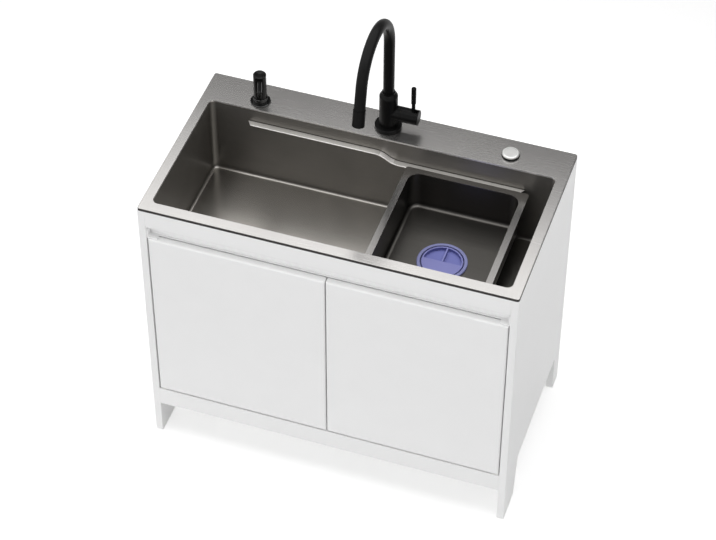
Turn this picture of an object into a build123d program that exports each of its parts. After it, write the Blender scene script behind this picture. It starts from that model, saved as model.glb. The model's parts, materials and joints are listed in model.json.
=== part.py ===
from build123d import *
from math import asin, cos, degrees, pi, radians, sin, sqrt
import os

# Kitchen sink unit: a free-standing cabinet on cut-out feet, a steel sink with a lift-in rinse basin,
# a gooseneck mixer, a soap pump and a pop-up waste worked by a deck button.
# Millimetres. X is the width, the doors face -Y, +Z is up. The origin is on the floor, at the middle
# of the unit's plan.

# ---- overall sizes -------------------------------------------------------------------------------
UNIT_WIDTH = 820.0
UNIT_DEPTH = 450.0
DECK_TOP = 700.0

# ---- cabinet -------------------------------------------------------------------------------------
BOARD = 16.0
BACK_BOARD = 9.0
GLIDE_HEIGHT = 2.5
GLIDE_WIDTH = 12.0
GLIDE_SETBACK = 5.0
SEAL_HEIGHT = 3.0
DECK_THICKNESS = 4.0
ARCH_HEIGHT = 108.0
FRONT_FOOT_DEPTH = 78.0
FRONT_FOOT_RAKE = 20.0
REAR_FOOT_DEPTH = 43.0
REAR_FOOT_RAKE = 3.0
ARCH_CORNER_RADIUS = 10.0
FOOT_CORNER_RADIUS = 4.0
KICK_BOTTOM = 97.0
KICK_HEIGHT = 49.0
DOOR_FLOOR_GAP = 2.5
DOOR_SIDE_GAP = 2.5
DOOR_MIDDLE_GAP = 2.5
DOOR_EDGE_RADIUS = 4.0
FRONT_RAIL_HEIGHT = 47.0
FRONT_RAIL_EDGE_RADIUS = 5.0
FINGER_GAP_HEIGHT = 32.0
REAR_RAIL_HEIGHT = 100.0
SHELF_FRONT_CLEARANCE = 6.0
BACK_BOARD_INSET = 1.0
BACK_BOARD_TOP_GAP = 3.0
SERVICE_HOLE_WIDTH = 240.0
SERVICE_HOLE_HEIGHT = 200.0
CHANNEL_SHEET = 1.5
CHANNEL_DROP = 34.0
CHANNEL_RAIL_LEG = 30.0
CHANNEL_LIP_GAP = 0.6
FACE_GAP = 0.3

# ---- door pivots, catches and joinery ------------------------------------------------------------
PIVOT_INSET = 8.0
PIVOT_PIN_RADIUS = 2.5
PIVOT_PIN_DEPTH = 14.0
PIVOT_PIN_REACH = 8.0
RUNNING_CLEARANCE = 0.05
BUSH_RADIUS = 5.0
BUSH_FLANGE_RADIUS = 7.0
BUSH_FLANGE_HEIGHT = 2.0
BUSH_DEPTH = 12.0
PIVOT_PLATE_THICKNESS = 2.5
PIVOT_PLATE_LENGTH = 22.0
PIVOT_PLATE_LEG = 26.0
CATCH_WIDTH = 46.0
CATCH_DEPTH = 18.0
CATCH_HEIGHT = 12.0
CATCH_OFFSET = 45.0
STRIKE_WIDTH = 30.0
STRIKE_HEIGHT = 14.0
STRIKE_THICKNESS = 1.5
CAM_RADIUS = 7.4
CAM_HEIGHT = 12.0
CAM_CLEARANCE = 0.1
CAM_INSET = 24.0

# ---- sink ----------------------------------------------------------------------------------------
RIM_LEFT = 22.0
RIM_RIGHT = 23.0
RIM_FRONT = 25.4
RIM_REAR = 85.2
DECK_CORNER_RADIUS = 5.0
DECK_EDGE_RADIUS = 1.2
BOWL_DEPTH = 196.0
BOWL_SHEET = 1.5
BOWL_CORNER_RADIUS = 13.0
BOWL_FLOOR_RADIUS = 7.0
SOUND_PAD = 2.0
SOUND_PAD_MARGIN = 50.0
SEAL_WIDTH = 12.0
LEDGE_WIDTH = 14.0
LEDGE_THICKNESS = 2.5
LEDGE_HIGH_DROP = 36.0
LEDGE_STEP = 18.5
LEDGE_STEP_RUN = 57.0
LEDGE_LEFT_INSET = 86.0
LEDGE_RIGHT_INSET = 66.0
LEDGE_STEP_GAP = 17.0
LEDGE_END_RUN = 10.0

# ---- rinse basin ---------------------------------------------------------------------------------
BASIN_WIDTH = 272.0
BASIN_SIDE_GAP = 53.0
BASIN_LEDGE_GAP = 10.8
BASIN_FLANGE = 14.0
BASIN_DEPTH = 92.5
BASIN_SHEET = 1.2
BASIN_CORNER_RADIUS = 25.0
BASIN_FLANGE_RADIUS = 6.0
BASIN_FLOOR_RADIUS = 9.0
BASIN_RING_RADIUS = 54.0
BASIN_RING_HEIGHT = 4.0
BASIN_RING_SLEEVE_RADIUS = 47.2
BASIN_RING_SLEEVE_DEPTH = 9.0
BASIN_HOLE_CLEARANCE = 0.5
BASIN_RING_WALL = 2.5
PLUG_RADIUS = 44.4
PLUG_SHEET = 2.5
PLUG_SEAT_DEPTH = 10.0
PLUG_GRIP_RADIUS = 41.0
PLUG_GRIP_DEPTH = 8.0
PLUG_RIB_WIDTH = 3.5
PLUG_EDGE_RADIUS = 1.0
RING_EDGE = 1.0

# ---- pop-up waste and trap -----------------------------------------------------------------------
WASTE_OFFSET_X = 3.2
WASTE_OFFSET_Y = 5.4
WASTE_FLANGE_RADIUS = 56.0
WASTE_FLANGE_HEIGHT = 2.0
WASTE_SLEEVE_RADIUS = 43.7
WASTE_SLEEVE_WALL = 2.2
WASTE_SLEEVE_DEPTH = 34.0
WASTE_LIP = 5.0
WASTE_RIM_BEVEL = 1.0
WASTE_MOUTH_BEVEL = 1.5
WASTE_HOLE_CLEARANCE = 0.8
WASTE_GASKET_HEIGHT = 2.5
WASTE_GASKET_INSET = 2.0
WASTE_BODY_WALL = 4.0
WASTE_BODY_DEPTH = 66.0
WASTE_BODY_FLANGE_HEIGHT = 5.0
WASTE_SPIGOT_LENGTH = 34.0
CABLE_PORT_HEIGHT = 12.0
CABLE_PORT_BITE = 1.0
PIPE_RADIUS = 20.0
PIPE_WALL = 2.5
BASKET_CLEARANCE = 0.6
BASKET_HEIGHT = 24.0
BASKET_WALL = 1.2
BASKET_HOLE_RADIUS = 4.0
BASKET_HOLE_CIRCLE = 24.0
BASKET_HOLES = 10
STOPPER_RADIUS = 39.5
STOPPER_THICKNESS = 3.5
STOPPER_EDGE_RADIUS = 1.5
STOPPER_STEM_RADIUS = 2.5
STOPPER_GUIDE_RADIUS = 5.0
STOPPER_SEAL_HEIGHT = 2.0
STOPPER_SEAL_WIDTH = 5.0
STOPPER_SEAL_CLEARANCE = 0.4
STOPPER_STEM_LENGTH = 36.0
NUT_RADIUS = 30.0
NUT_HEIGHT = 18.0
TRAP_BODY_RADIUS = 32.0
TRAP_NUT_GAP = 3.0
TRAP_CUP_WALL = 4.8
TRAP_CUP_SLOPE = 8.0
TRAP_CUP_HEIGHT = 66.0
TRAP_WALL = 3.0
SOCKET_DEPTH = 20.0
TAILPIECE_GAP = 12.0
TAILPIECE_INSERT = 9.0
TAILPIECE_DIP = 20.0
OUTLET_END_INSET = 20.0
OUTLET_SPIGOT = 30.0
OUTLET_BEAD_RADIUS = 22.5
OUTLET_BEAD_WIDTH = 3.0
PIPE_SEAT_GAP = 2.0
NUT_SEAT_GAP = 1.0

# ---- deck fittings -------------------------------------------------------------------------------
FITTING_LINE_INSET = 45.0
BUTTON_LINE_INSET = 48.5
BUTTON_INSET = 133.5
PUMP_INSET = 127.0
PUMP_FORWARD = 12.0
FAUCET_OFFSET = 3.4
BUTTON_RADIUS = 18.3
BUTTON_HEIGHT = 4.8
BUTTON_EDGE = 1.2
BUTTON_DOME = 4.0
BUTTON_CROWN = 0.3
BUTTON_FOOT_GAP = 1.0
BUTTON_TRAVEL = 3.0
BUTTON_WALL = 1.3
FITTING_RADIUS = 13.5
BUTTON_BARREL_LENGTH = 55.0
BUTTON_COLLAR_RADIUS = 19.6
BUTTON_COLLAR_HEIGHT = 1.2
BUTTON_COLLAR_BEVEL = 0.5
BUTTON_NECK_RADIUS = 16.2
BUTTON_NECK_HEIGHT = 3.8
BUTTON_STEM_RADIUS = 4.0
BUTTON_STEM_CLEARANCE = 0.3
BUTTON_PORT_RADIUS = 2.5
BUTTON_PORT_LENGTH = 12.0
HOLE_CLEARANCE = 0.5
FIXING_NUT_HEIGHT = 8.0
FIXING_WASHER_HEIGHT = 2.0
FIXING_RIM = 8.0
THREAD_CLEARANCE = 0.2

PUMP_COLLAR_RADIUS = 22.3
PUMP_COLLAR_FLANGE = 4.0
PUMP_BARREL_RADIUS = 16.4
PUMP_BARREL_HEIGHT = 15.0
PUMP_EDGE = 1.2
PUMP_SEAT_GAP = 0.7
PUMP_HEAD_RADIUS = 14.2
PUMP_HEAD_LIP = 2.5
PUMP_HEAD_DISH = 4.5
PUMP_HEAD_DISH_DEPTH = 1.5
PUMP_HEAD_BOTTOM = 14.0
PUMP_HEAD_TOP = 78.0
PUMP_TRAVEL = 12.0
PUMP_BORE_CLEARANCE = 0.4
PUMP_SHANK_BORE = 8.0
PUMP_SHANK_LENGTH = 45.0
PUMP_NOZZLE_RADIUS = 5.0
PUMP_NOZZLE_BORE = 2.2
PUMP_NOZZLE_REACH = 48.0
PUMP_NOZZLE_HEIGHT = 66.0
PUMP_NOZZLE_TURN = 20.0
PUMP_NOZZLE_TIP_LENGTH = 8.0
PUMP_NOZZLE_TIP_INSET = 1.0
PUMP_STEM_RADIUS = 3.5
PUMP_STEM_LENGTH = 82.0
PUMP_CYLINDER_WALL = 1.5
PUMP_CYLINDER_LENGTH = 34.0
PUMP_CYLINDER_SLIP = 1.0
PUMP_STEM_CLEARANCE = 0.5
PUMP_STEM_END_GAP = 3.0
DIP_TUBE_GAP = 4.0
BOTTLE_GAP = 3.0
BOTTLE_NECK_WALL = 2.5
BOTTLE_NECK_LENGTH = 16.0
BOTTLE_HEIGHT = 130.0
BOTTLE_WALL = 1.6
BOTTLE_SLOPE = 10.0
BOTTLE_EDGE = 2.0
DIP_TUBE_RADIUS = 2.5

# ---- mixer ---------------------------------------------------------------------------------------
FLANGE_RADIUS = 29.3
FLANGE_HEIGHT = 10.0
BASE_GASKET_HEIGHT = 0.8
BASE_GASKET_INSET = 1.5
BODY_EDGE = 1.5
BODY_SHOULDER_RISE = 3.0
BODY_TOP_BEVEL = 1.0
BODY_RADIUS = 19.9
BODY_HEIGHT = 96.0
BODY_SHOULDER_HEIGHT = 8.0
BODY_SHOULDER_INSET = 4.5
SHANK_RADIUS = 16.5
SHANK_BORE = 13.0
SHANK_LENGTH = 55.0
HOSE_PORT_RADIUS = 4.5
HOSE_PORT_LENGTH = 12.0
HOSE_PORT_OFFSET = 6.0
SPOUT_RADIUS = 12.0
SPOUT_WALL = 2.0
SPOUT_SOCKET_DEPTH = 26.0
SPOUT_ARC_RADIUS = 92.5
SPOUT_ARC_HEIGHT = 236.0
SPOUT_DROOP = 12.9
SPOUT_LIMB = 84.0
SPOUT_COLLAR_RADIUS = 14.3
SPOUT_COLLAR_HEIGHT = 3.0
SLEEVE_WALL = 1.0
SLEEVE_LENGTH = 36.0
SLEEVE_OVERHANG = 1.0
AERATOR_HEIGHT = 14.0
AERATOR_HOLE_RADIUS = 1.6
AERATOR_HOLES = 8
BARREL_HEIGHT = 43.0
BARREL_RADIUS = 16.8
BARREL_SEAM = 29.0
HUB_END = 68.0
HUB_GAP = 0.4
HUB_BORE = 13.5
HUB_END_WALL = 3.0
HUB_EDGE_RADIUS = 1.2
CARTRIDGE_RADIUS = 13.0
CARTRIDGE_START = 14.0
CARTRIDGE_END = 40.0
CARTRIDGE_STEM_RADIUS = 4.0
LEVER_REACH = 55.4
LEVER_BALL_RADIUS = 6.5
LEVER_NECK_RADIUS = 4.0
LEVER_GRIP_RADIUS = 5.3
LEVER_GRIP_START = 38.0
LEVER_TOP = 80.0
LEVER_TILT = 18.0
LEVER_PIN_RADIUS = 2.0
LEVER_PIN_HALF_LENGTH = 15.0
LEVER_SLOT_CLEARANCE = 0.6
LEVER_GRIP_EDGE = 0.8

# ---- places worked out from the sizes above ------------------------------------------------------
LEFT, RIGHT = -UNIT_WIDTH / 2, UNIT_WIDTH / 2
FRONT, REAR = -UNIT_DEPTH / 2, UNIT_DEPTH / 2
INNER_LEFT, INNER_RIGHT = LEFT + BOARD, RIGHT - BOARD
DECK_UNDERSIDE = DECK_TOP - DECK_THICKNESS
CABINET_TOP = DECK_UNDERSIDE - SEAL_HEIGHT
KICK_TOP = KICK_BOTTOM + KICK_HEIGHT
DOOR_BOTTOM = KICK_TOP + DOOR_FLOOR_GAP
FRONT_RAIL_BOTTOM = CABINET_TOP - FRONT_RAIL_HEIGHT
DOOR_TOP = FRONT_RAIL_BOTTOM - FINGER_GAP_HEIGHT
DOOR_BACK = FRONT + BOARD
SHELF_FRONT = DOOR_BACK + SHELF_FRONT_CLEARANCE
SHELF_TOP = KICK_TOP + BOARD
BACK_BOARD_REAR = REAR - BACK_BOARD_INSET
BACK_BOARD_FRONT = BACK_BOARD_REAR - BACK_BOARD
REAR_RAIL_FRONT = REAR - BOARD
REAR_RAIL_BOTTOM = CABINET_TOP - REAR_RAIL_HEIGHT
BACK_BOARD_TOP = REAR_RAIL_BOTTOM - BACK_BOARD_TOP_GAP

BOWL_LEFT, BOWL_RIGHT = LEFT + RIM_LEFT, RIGHT - RIM_RIGHT
BOWL_FRONT, BOWL_REAR = FRONT + RIM_FRONT, REAR - RIM_REAR
BOWL_FLOOR = DECK_TOP - BOWL_DEPTH
BOWL_UNDERSIDE = BOWL_FLOOR - BOWL_SHEET

LEDGE_HIGH = DECK_TOP - LEDGE_HIGH_DROP
LEDGE_LOW = LEDGE_HIGH - LEDGE_STEP
BASIN_RIGHT = BOWL_RIGHT - BASIN_SIDE_GAP
BASIN_LEFT = BASIN_RIGHT - BASIN_WIDTH
LEDGE_LEFT = BOWL_LEFT + LEDGE_LEFT_INSET
LEDGE_STEP_RIGHT = BASIN_LEFT - LEDGE_STEP_GAP
LEDGE_STEP_LEFT = LEDGE_STEP_RIGHT - LEDGE_STEP_RUN
LEDGE_RIGHT = BOWL_RIGHT - LEDGE_RIGHT_INSET
BASIN_FRONT, BASIN_REAR = BOWL_FRONT + BASIN_LEDGE_GAP, BOWL_REAR - BASIN_LEDGE_GAP
BASIN_TOP = LEDGE_LOW + BASIN_SHEET
BASIN_FLOOR = BASIN_TOP - BASIN_DEPTH
BASIN_UNDERSIDE = BASIN_FLOOR - BASIN_SHEET
WASTE_AT = ((BASIN_LEFT + BASIN_RIGHT) / 2 - WASTE_OFFSET_X, (BASIN_FRONT + BASIN_REAR) / 2 - WASTE_OFFSET_Y)

FITTING_LINE = REAR - FITTING_LINE_INSET
FAUCET_AT = (FAUCET_OFFSET, FITTING_LINE)
PUMP_AT = (LEFT + PUMP_INSET, FITTING_LINE - PUMP_FORWARD)
BUTTON_AT = (RIGHT - BUTTON_INSET, REAR - BUTTON_LINE_INSET)
BODY_BASE = DECK_TOP + BASE_GASKET_HEIGHT
BODY_TOP = DECK_TOP + BODY_HEIGHT
BARREL_AXIS = DECK_TOP + BARREL_HEIGHT
PIVOT_SIDE = DOOR_SIDE_GAP + PIVOT_INSET
SOCKET_BORE = PIPE_RADIUS + THREAD_CLEARANCE
SOCKET_RADIUS = SOCKET_BORE + PIPE_WALL
BOTTLE_RADIUS = min(REAR - BOARD - PUMP_AT[1],
                    PUMP_AT[1] - BOWL_REAR - BOWL_SHEET - SOUND_PAD) - BOTTLE_GAP
SIDES = ((-1, "left"), (1, "right"))


# ---- helpers -------------------------------------------------------------------------------------
def block(x0, x1, y0, y1, z0, z1):
    """A box between two corners."""
    return Pos((x0 + x1) / 2, (y0 + y1) / 2, (z0 + z1) / 2) * Box(abs(x1 - x0), abs(y1 - y0), z1 - z0)


def rod(radius, z0, z1, at=(0, 0)):
    """An upright cylinder from z0 to z1."""
    return Pos(at[0], at[1], (z0 + z1) / 2) * Cylinder(radius, z1 - z0)


def rod_x(radius, x0, x1, y, z):
    """A cylinder that lies along X."""
    return Pos((x0 + x1) / 2, y, z) * (Rot(0, 90, 0) * Cylinder(radius, x1 - x0))


def rod_y(radius, y0, y1, x, z):
    """A cylinder that lies along Y."""
    return Pos(x, (y0 + y1) / 2, z) * (Rot(90, 0, 0) * Cylinder(radius, y1 - y0))


def ring(outer, inner, z0, z1, at=(0, 0)):
    """An upright ring."""
    return rod(outer, z0, z1, at) - rod(inner, z0, z1, at)


def turned(outline, at=(0, 0)):
    """A solid turned about an upright axis from (radius, height) points."""
    profile = make_face(Polyline(*[(r, 0, z) for r, z in outline], close=True))
    return Pos(at[0], at[1], 0) * revolve(profile, Axis.Z)


def rounded_tray(x0, x1, y0, y1, z0, z1, corner, floor):
    """A block with rounded upright corners and a rounded lower edge."""
    body = fillet(block(x0, x1, y0, y1, z0, z1).edges().filter_by(Axis.Z), corner)
    return fillet(body.faces().sort_by(Axis.Z)[0].edges(), floor)


def rounded_slab(x0, x1, y0, y1, z0, z1, corner):
    """A block with rounded upright corners."""
    return fillet(block(x0, x1, y0, y1, z0, z1).edges().filter_by(Axis.Z), corner)


def group(solids):
    """Equal pieces that share one node."""
    return Compound(children=[solid for piece in solids for solid in piece.solids()])


# ---- cabinet -------------------------------------------------------------------------------------
def cam_places():
    """The centres of the cam locks in the shelf's underside and in the rear rail's front."""
    shelf = [(side * (INNER_RIGHT - CAM_INSET), y) for side, _ in SIDES for y in (FRONT / 2, REAR / 2)]
    rail = [(side * (INNER_RIGHT - CAM_INSET), z)
            for side, _ in SIDES for z in (REAR_RAIL_BOTTOM + CAM_INSET, CABINET_TOP - CAM_INSET)]
    return shelf, rail


def side_panel(side):
    """A side board with the foot arch cut out of its lower edge."""
    outline = Polyline(
        (0, FRONT, GLIDE_HEIGHT),
        (0, FRONT + FRONT_FOOT_DEPTH, GLIDE_HEIGHT),
        (0, FRONT + FRONT_FOOT_DEPTH + FRONT_FOOT_RAKE, ARCH_HEIGHT),
        (0, REAR - REAR_FOOT_DEPTH - REAR_FOOT_RAKE, ARCH_HEIGHT),
        (0, REAR - REAR_FOOT_DEPTH, GLIDE_HEIGHT),
        (0, REAR, GLIDE_HEIGHT),
        (0, REAR, CABINET_TOP),
        (0, FRONT, CABINET_TOP),
        close=True)
    panel = extrude(make_face(outline), BOARD, dir=(1, 0, 0))
    across = panel.edges().filter_by(Axis.X)
    arch = across.filter_by(lambda edge: abs(edge.center().Z - ARCH_HEIGHT) < 1)
    panel = fillet(arch, ARCH_CORNER_RADIUS)
    feet = panel.edges().filter_by(Axis.X).filter_by(lambda edge: abs(edge.center().Z - GLIDE_HEIGHT) < 1)
    panel = fillet(feet, FOOT_CORNER_RADIUS)
    return Pos(LEFT if side < 0 else INNER_RIGHT, 0, 0) * panel


def foot_glides():
    """A nylon glide under each of the four feet."""
    pads = []
    for side, _ in SIDES:
        middle = side * (RIGHT - BOARD / 2)
        half = GLIDE_WIDTH / 2
        for y0, y1 in ((FRONT, FRONT + FRONT_FOOT_DEPTH), (REAR - REAR_FOOT_DEPTH, REAR)):
            pads.append(block(middle - half, middle + half, y0 + GLIDE_SETBACK, y1 - GLIDE_SETBACK,
                              0, GLIDE_HEIGHT))
    return group(pads)


def bottom_shelf():
    """The cabinet floor, with the cam bores in its underside."""
    shelf = block(INNER_LEFT, INNER_RIGHT, SHELF_FRONT, BACK_BOARD_FRONT, KICK_TOP, SHELF_TOP)
    for x, y in cam_places()[0]:
        shelf -= rod(CAM_RADIUS + CAM_CLEARANCE, KICK_TOP, KICK_TOP + CAM_HEIGHT, (x, y))
    return shelf


def rear_rail():
    """The rail across the top of the back, with the cam bores in its front."""
    rail = block(INNER_LEFT, INNER_RIGHT, REAR_RAIL_FRONT, REAR, REAR_RAIL_BOTTOM, CABINET_TOP)
    for x, z in cam_places()[1]:
        rail -= rod_y(CAM_RADIUS + CAM_CLEARANCE, REAR_RAIL_FRONT, REAR_RAIL_FRONT + CAM_HEIGHT, x, z)
    return rail


def cam_locks():
    """The cam locks that draw the shelf and the rear rail to the side boards."""
    shelf, rail = cam_places()
    locks = [rod(CAM_RADIUS, KICK_TOP, KICK_TOP + CAM_HEIGHT, at) for at in shelf]
    locks += [rod_y(CAM_RADIUS, REAR_RAIL_FRONT, REAR_RAIL_FRONT + CAM_HEIGHT, x, z) for x, z in rail]
    return group(locks)


def kick_board():
    """The board below the doors, bored on top for the door bushes."""
    board = block(INNER_LEFT, INNER_RIGHT, FRONT, DOOR_BACK, KICK_BOTTOM, KICK_TOP)
    for x, y in pivot_places():
        board -= rod(BUSH_RADIUS, KICK_TOP - BUSH_DEPTH, KICK_TOP, (x, y))
    return board


def front_rail():
    """The rail between the deck and the finger pull, with a rounded lower edge."""
    rail = block(INNER_LEFT, INNER_RIGHT, FRONT, DOOR_BACK, FRONT_RAIL_BOTTOM, CABINET_TOP)
    lower = rail.edges().filter_by(Axis.X).filter_by(
        lambda edge: edge.center().Z < FRONT_RAIL_BOTTOM + 1 and edge.center().Y < FRONT + 1)
    return fillet(lower, FRONT_RAIL_EDGE_RADIUS)


def finger_channel():
    """The folded sheet behind the finger gap, with a lip over the slit behind the doors."""
    rear = BOWL_FRONT - BOWL_SHEET - FACE_GAP
    sheet, fold = CHANNEL_SHEET, FRONT_RAIL_BOTTOM
    leg = block(INNER_LEFT, INNER_RIGHT, DOOR_BACK, DOOR_BACK + sheet, fold, fold + CHANNEL_RAIL_LEG)
    roof = block(INNER_LEFT, INNER_RIGHT, DOOR_BACK, rear, fold, fold + sheet)
    wall = block(INNER_LEFT, INNER_RIGHT, rear - sheet, rear, DOOR_TOP - CHANNEL_DROP, fold + sheet)
    lip_bottom = DOOR_TOP + CHANNEL_LIP_GAP
    lip = block(INNER_LEFT, INNER_RIGHT, DOOR_BACK + CHANNEL_LIP_GAP, rear, lip_bottom, lip_bottom + sheet)
    return leg + roof + wall + lip


def back_board():
    """The back board, with the hole for water and waste pipes."""
    board = block(INNER_LEFT, INNER_RIGHT, BACK_BOARD_FRONT, BACK_BOARD_REAR, KICK_BOTTOM, BACK_BOARD_TOP)
    half_width, half_height = SERVICE_HOLE_WIDTH / 2, SERVICE_HOLE_HEIGHT / 2
    x, z = WASTE_AT[0], outlet_height()
    return board - block(x - half_width, x + half_width, BACK_BOARD_FRONT, BACK_BOARD_REAR,
                         z - half_height, z + half_height)


# ---- doors ---------------------------------------------------------------------------------------
def pivot_places():
    """The door axes in plan, left and right."""
    return [(side * (INNER_RIGHT - PIVOT_SIDE), FRONT + BOARD / 2) for side, _ in SIDES]


def door(side):
    """A door with softened front edges and its two pin bores."""
    outer, middle = INNER_RIGHT - DOOR_SIDE_GAP, DOOR_MIDDLE_GAP / 2
    panel = block(middle, outer, FRONT, DOOR_BACK, DOOR_BOTTOM, DOOR_TOP)
    panel = fillet(panel.faces().sort_by(Axis.Y)[0].edges(), DOOR_EDGE_RADIUS)
    axis = (outer - PIVOT_INSET, FRONT + BOARD / 2)
    panel -= rod(PIVOT_PIN_RADIUS, DOOR_BOTTOM, DOOR_BOTTOM + PIVOT_PIN_DEPTH, axis)
    panel -= rod(PIVOT_PIN_RADIUS, DOOR_TOP - PIVOT_PIN_DEPTH, DOOR_TOP, axis)
    return panel if side > 0 else mirror(panel, Plane.YZ)


def pivot_pins(at):
    """The lower and upper pin of one door."""
    return group([
        rod(PIVOT_PIN_RADIUS, DOOR_BOTTOM - PIVOT_PIN_REACH, DOOR_BOTTOM + PIVOT_PIN_DEPTH, at),
        rod(PIVOT_PIN_RADIUS, DOOR_TOP - PIVOT_PIN_DEPTH,
            DOOR_TOP + FACE_GAP + PIVOT_PLATE_THICKNESS, at)])


def pivot_bushes():
    """The flanged nylon bushes in the kick board that carry the doors."""
    bore = PIVOT_PIN_RADIUS + RUNNING_CLEARANCE
    bushes = []
    for at in pivot_places():
        bush = rod(BUSH_RADIUS, KICK_TOP - BUSH_DEPTH, KICK_TOP, at)
        bush += rod(BUSH_FLANGE_RADIUS, KICK_TOP, KICK_TOP + BUSH_FLANGE_HEIGHT, at)
        bush -= rod(bore, KICK_TOP - BUSH_DEPTH, KICK_TOP + BUSH_FLANGE_HEIGHT, at)
        bushes.append(bush)
    return group(bushes)


def pivot_plates():
    """The angle plates on the side boards that hold the upper pins."""
    bottom = DOOR_TOP + FACE_GAP
    plates = []
    for (side, _), at in zip(SIDES, pivot_places()):
        wall = side * INNER_RIGHT
        y0, y1 = FRONT + DOOR_EDGE_RADIUS, DOOR_BACK
        plate = block(wall, wall - side * PIVOT_PLATE_LENGTH, y0, y1, bottom, bottom + PIVOT_PLATE_THICKNESS)
        plate += block(wall, wall - side * PIVOT_PLATE_THICKNESS, y0, y1, bottom, bottom + PIVOT_PLATE_LEG)
        plate -= rod(PIVOT_PIN_RADIUS + RUNNING_CLEARANCE, bottom, bottom + PIVOT_PLATE_THICKNESS, at)
        plates.append(plate)
    return group(plates)


def magnetic_catches():
    """A magnet block on the shelf behind the free edge of each door."""
    face = DOOR_BACK + STRIKE_THICKNESS + FACE_GAP
    half = CATCH_WIDTH / 2
    return group([
        block(side * (CATCH_OFFSET - half), side * (CATCH_OFFSET + half), face, face + CATCH_DEPTH,
              SHELF_TOP, SHELF_TOP + CATCH_HEIGHT)
        for side, _ in SIDES])


def strike_plate(side):
    """The steel plate on a door that meets its magnet."""
    half = STRIKE_WIDTH / 2
    return block(side * (CATCH_OFFSET - half), side * (CATCH_OFFSET + half), DOOR_BACK,
                 DOOR_BACK + STRIKE_THICKNESS, SHELF_TOP, SHELF_TOP + STRIKE_HEIGHT)


# ---- sink ----------------------------------------------------------------------------------------
def deck():
    """The deck plate, open over the bowl, with a hole for each fitting."""
    plate = rounded_slab(LEFT, RIGHT, FRONT, REAR, DECK_UNDERSIDE, DECK_TOP, DECK_CORNER_RADIUS)
    plate -= rounded_slab(BOWL_LEFT, BOWL_RIGHT, BOWL_FRONT, BOWL_REAR, DECK_UNDERSIDE, DECK_TOP,
                          BOWL_CORNER_RADIUS)
    plate = fillet(plate.faces().sort_by(Axis.Z)[-1].outer_wire().edges(), DECK_EDGE_RADIUS)
    for radius, at in ((SHANK_RADIUS, FAUCET_AT), (FITTING_RADIUS, PUMP_AT),
                       (FITTING_RADIUS, BUTTON_AT)):
        plate -= rod(radius + HOLE_CLEARANCE, DECK_UNDERSIDE, DECK_TOP, at)
    return plate


def bowl():
    """The bowl below the deck, with the waste hole in its floor."""
    sheet = BOWL_SHEET
    outer = rounded_tray(BOWL_LEFT - sheet, BOWL_RIGHT + sheet, BOWL_FRONT - sheet, BOWL_REAR + sheet,
                         BOWL_UNDERSIDE, DECK_UNDERSIDE, BOWL_CORNER_RADIUS + sheet,
                         BOWL_FLOOR_RADIUS + sheet)
    inner = rounded_tray(BOWL_LEFT, BOWL_RIGHT, BOWL_FRONT, BOWL_REAR, BOWL_FLOOR, DECK_UNDERSIDE,
                         BOWL_CORNER_RADIUS, BOWL_FLOOR_RADIUS)
    hole = rod(WASTE_SLEEVE_RADIUS + WASTE_HOLE_CLEARANCE, BOWL_UNDERSIDE, BOWL_FLOOR, WASTE_AT)
    return outer - inner - hole


def deck_seal():
    """The dark strip between the deck and the cabinet's upper edges."""
    outer = rounded_slab(LEFT, RIGHT, FRONT, REAR, CABINET_TOP, DECK_UNDERSIDE, DECK_CORNER_RADIUS)
    width = SEAL_WIDTH
    return outer - block(LEFT + width, RIGHT - width, FRONT + width, REAR - width,
                         CABINET_TOP, DECK_UNDERSIDE)


def ledge_rail(wall, inward):
    """A steel strip along a long wall, stepped down in an S under the rinse basin.

    wall is the Y of the wall's face; inward is the direction of the bowl's middle, +1 or -1.
    """
    radius = (LEDGE_STEP_RUN ** 2 + LEDGE_STEP ** 2) / (4 * LEDGE_STEP)
    middle = (LEDGE_STEP_LEFT + LEDGE_STEP_RUN / 2, LEDGE_HIGH - LEDGE_STEP / 2)
    start = wall if inward > 0 else wall - LEDGE_WIDTH

    def upper(drop):
        a = Vector(LEDGE_LEFT, start, LEDGE_HIGH - drop)
        b = Vector(LEDGE_STEP_LEFT, start, LEDGE_HIGH - drop)
        c = Vector(middle[0], start, middle[1] - drop)
        d = Vector(LEDGE_STEP_RIGHT, start, LEDGE_LOW - drop)
        e = Vector(LEDGE_RIGHT, start, LEDGE_LOW - drop)
        half = asin((d.X - c.X) / radius) / 2
        sag = radius * sin(half)
        first = Vector(b.X + sag, start, b.Z - radius * (1 - cos(half)))
        second = Vector(d.X - sag, start, d.Z + radius * (1 - cos(half)))
        return [Line(a, b), ThreePointArc(b, first, c), ThreePointArc(c, second, d), Line(d, e)], a, e

    top, a0, e0 = upper(0)
    low, a1, e1 = upper(LEDGE_THICKNESS)
    face = make_face(Wire(top + [Line(e0, e1)] + low + [Line(a1, a0)]))
    strip = extrude(face, LEDGE_WIDTH, dir=(0, 1, 0))
    nose = wall + inward * LEDGE_WIDTH
    slant = make_face(Polyline((LEDGE_LEFT, wall), (LEDGE_RIGHT, wall), (LEDGE_RIGHT - LEDGE_END_RUN, nose),
                               (LEDGE_LEFT + LEDGE_END_RUN, nose), close=True))
    plan = Pos(0, 0, LEDGE_LOW - LEDGE_THICKNESS) * slant
    return strip & extrude(plan, LEDGE_STEP + LEDGE_THICKNESS, dir=(0, 0, 1))


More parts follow.
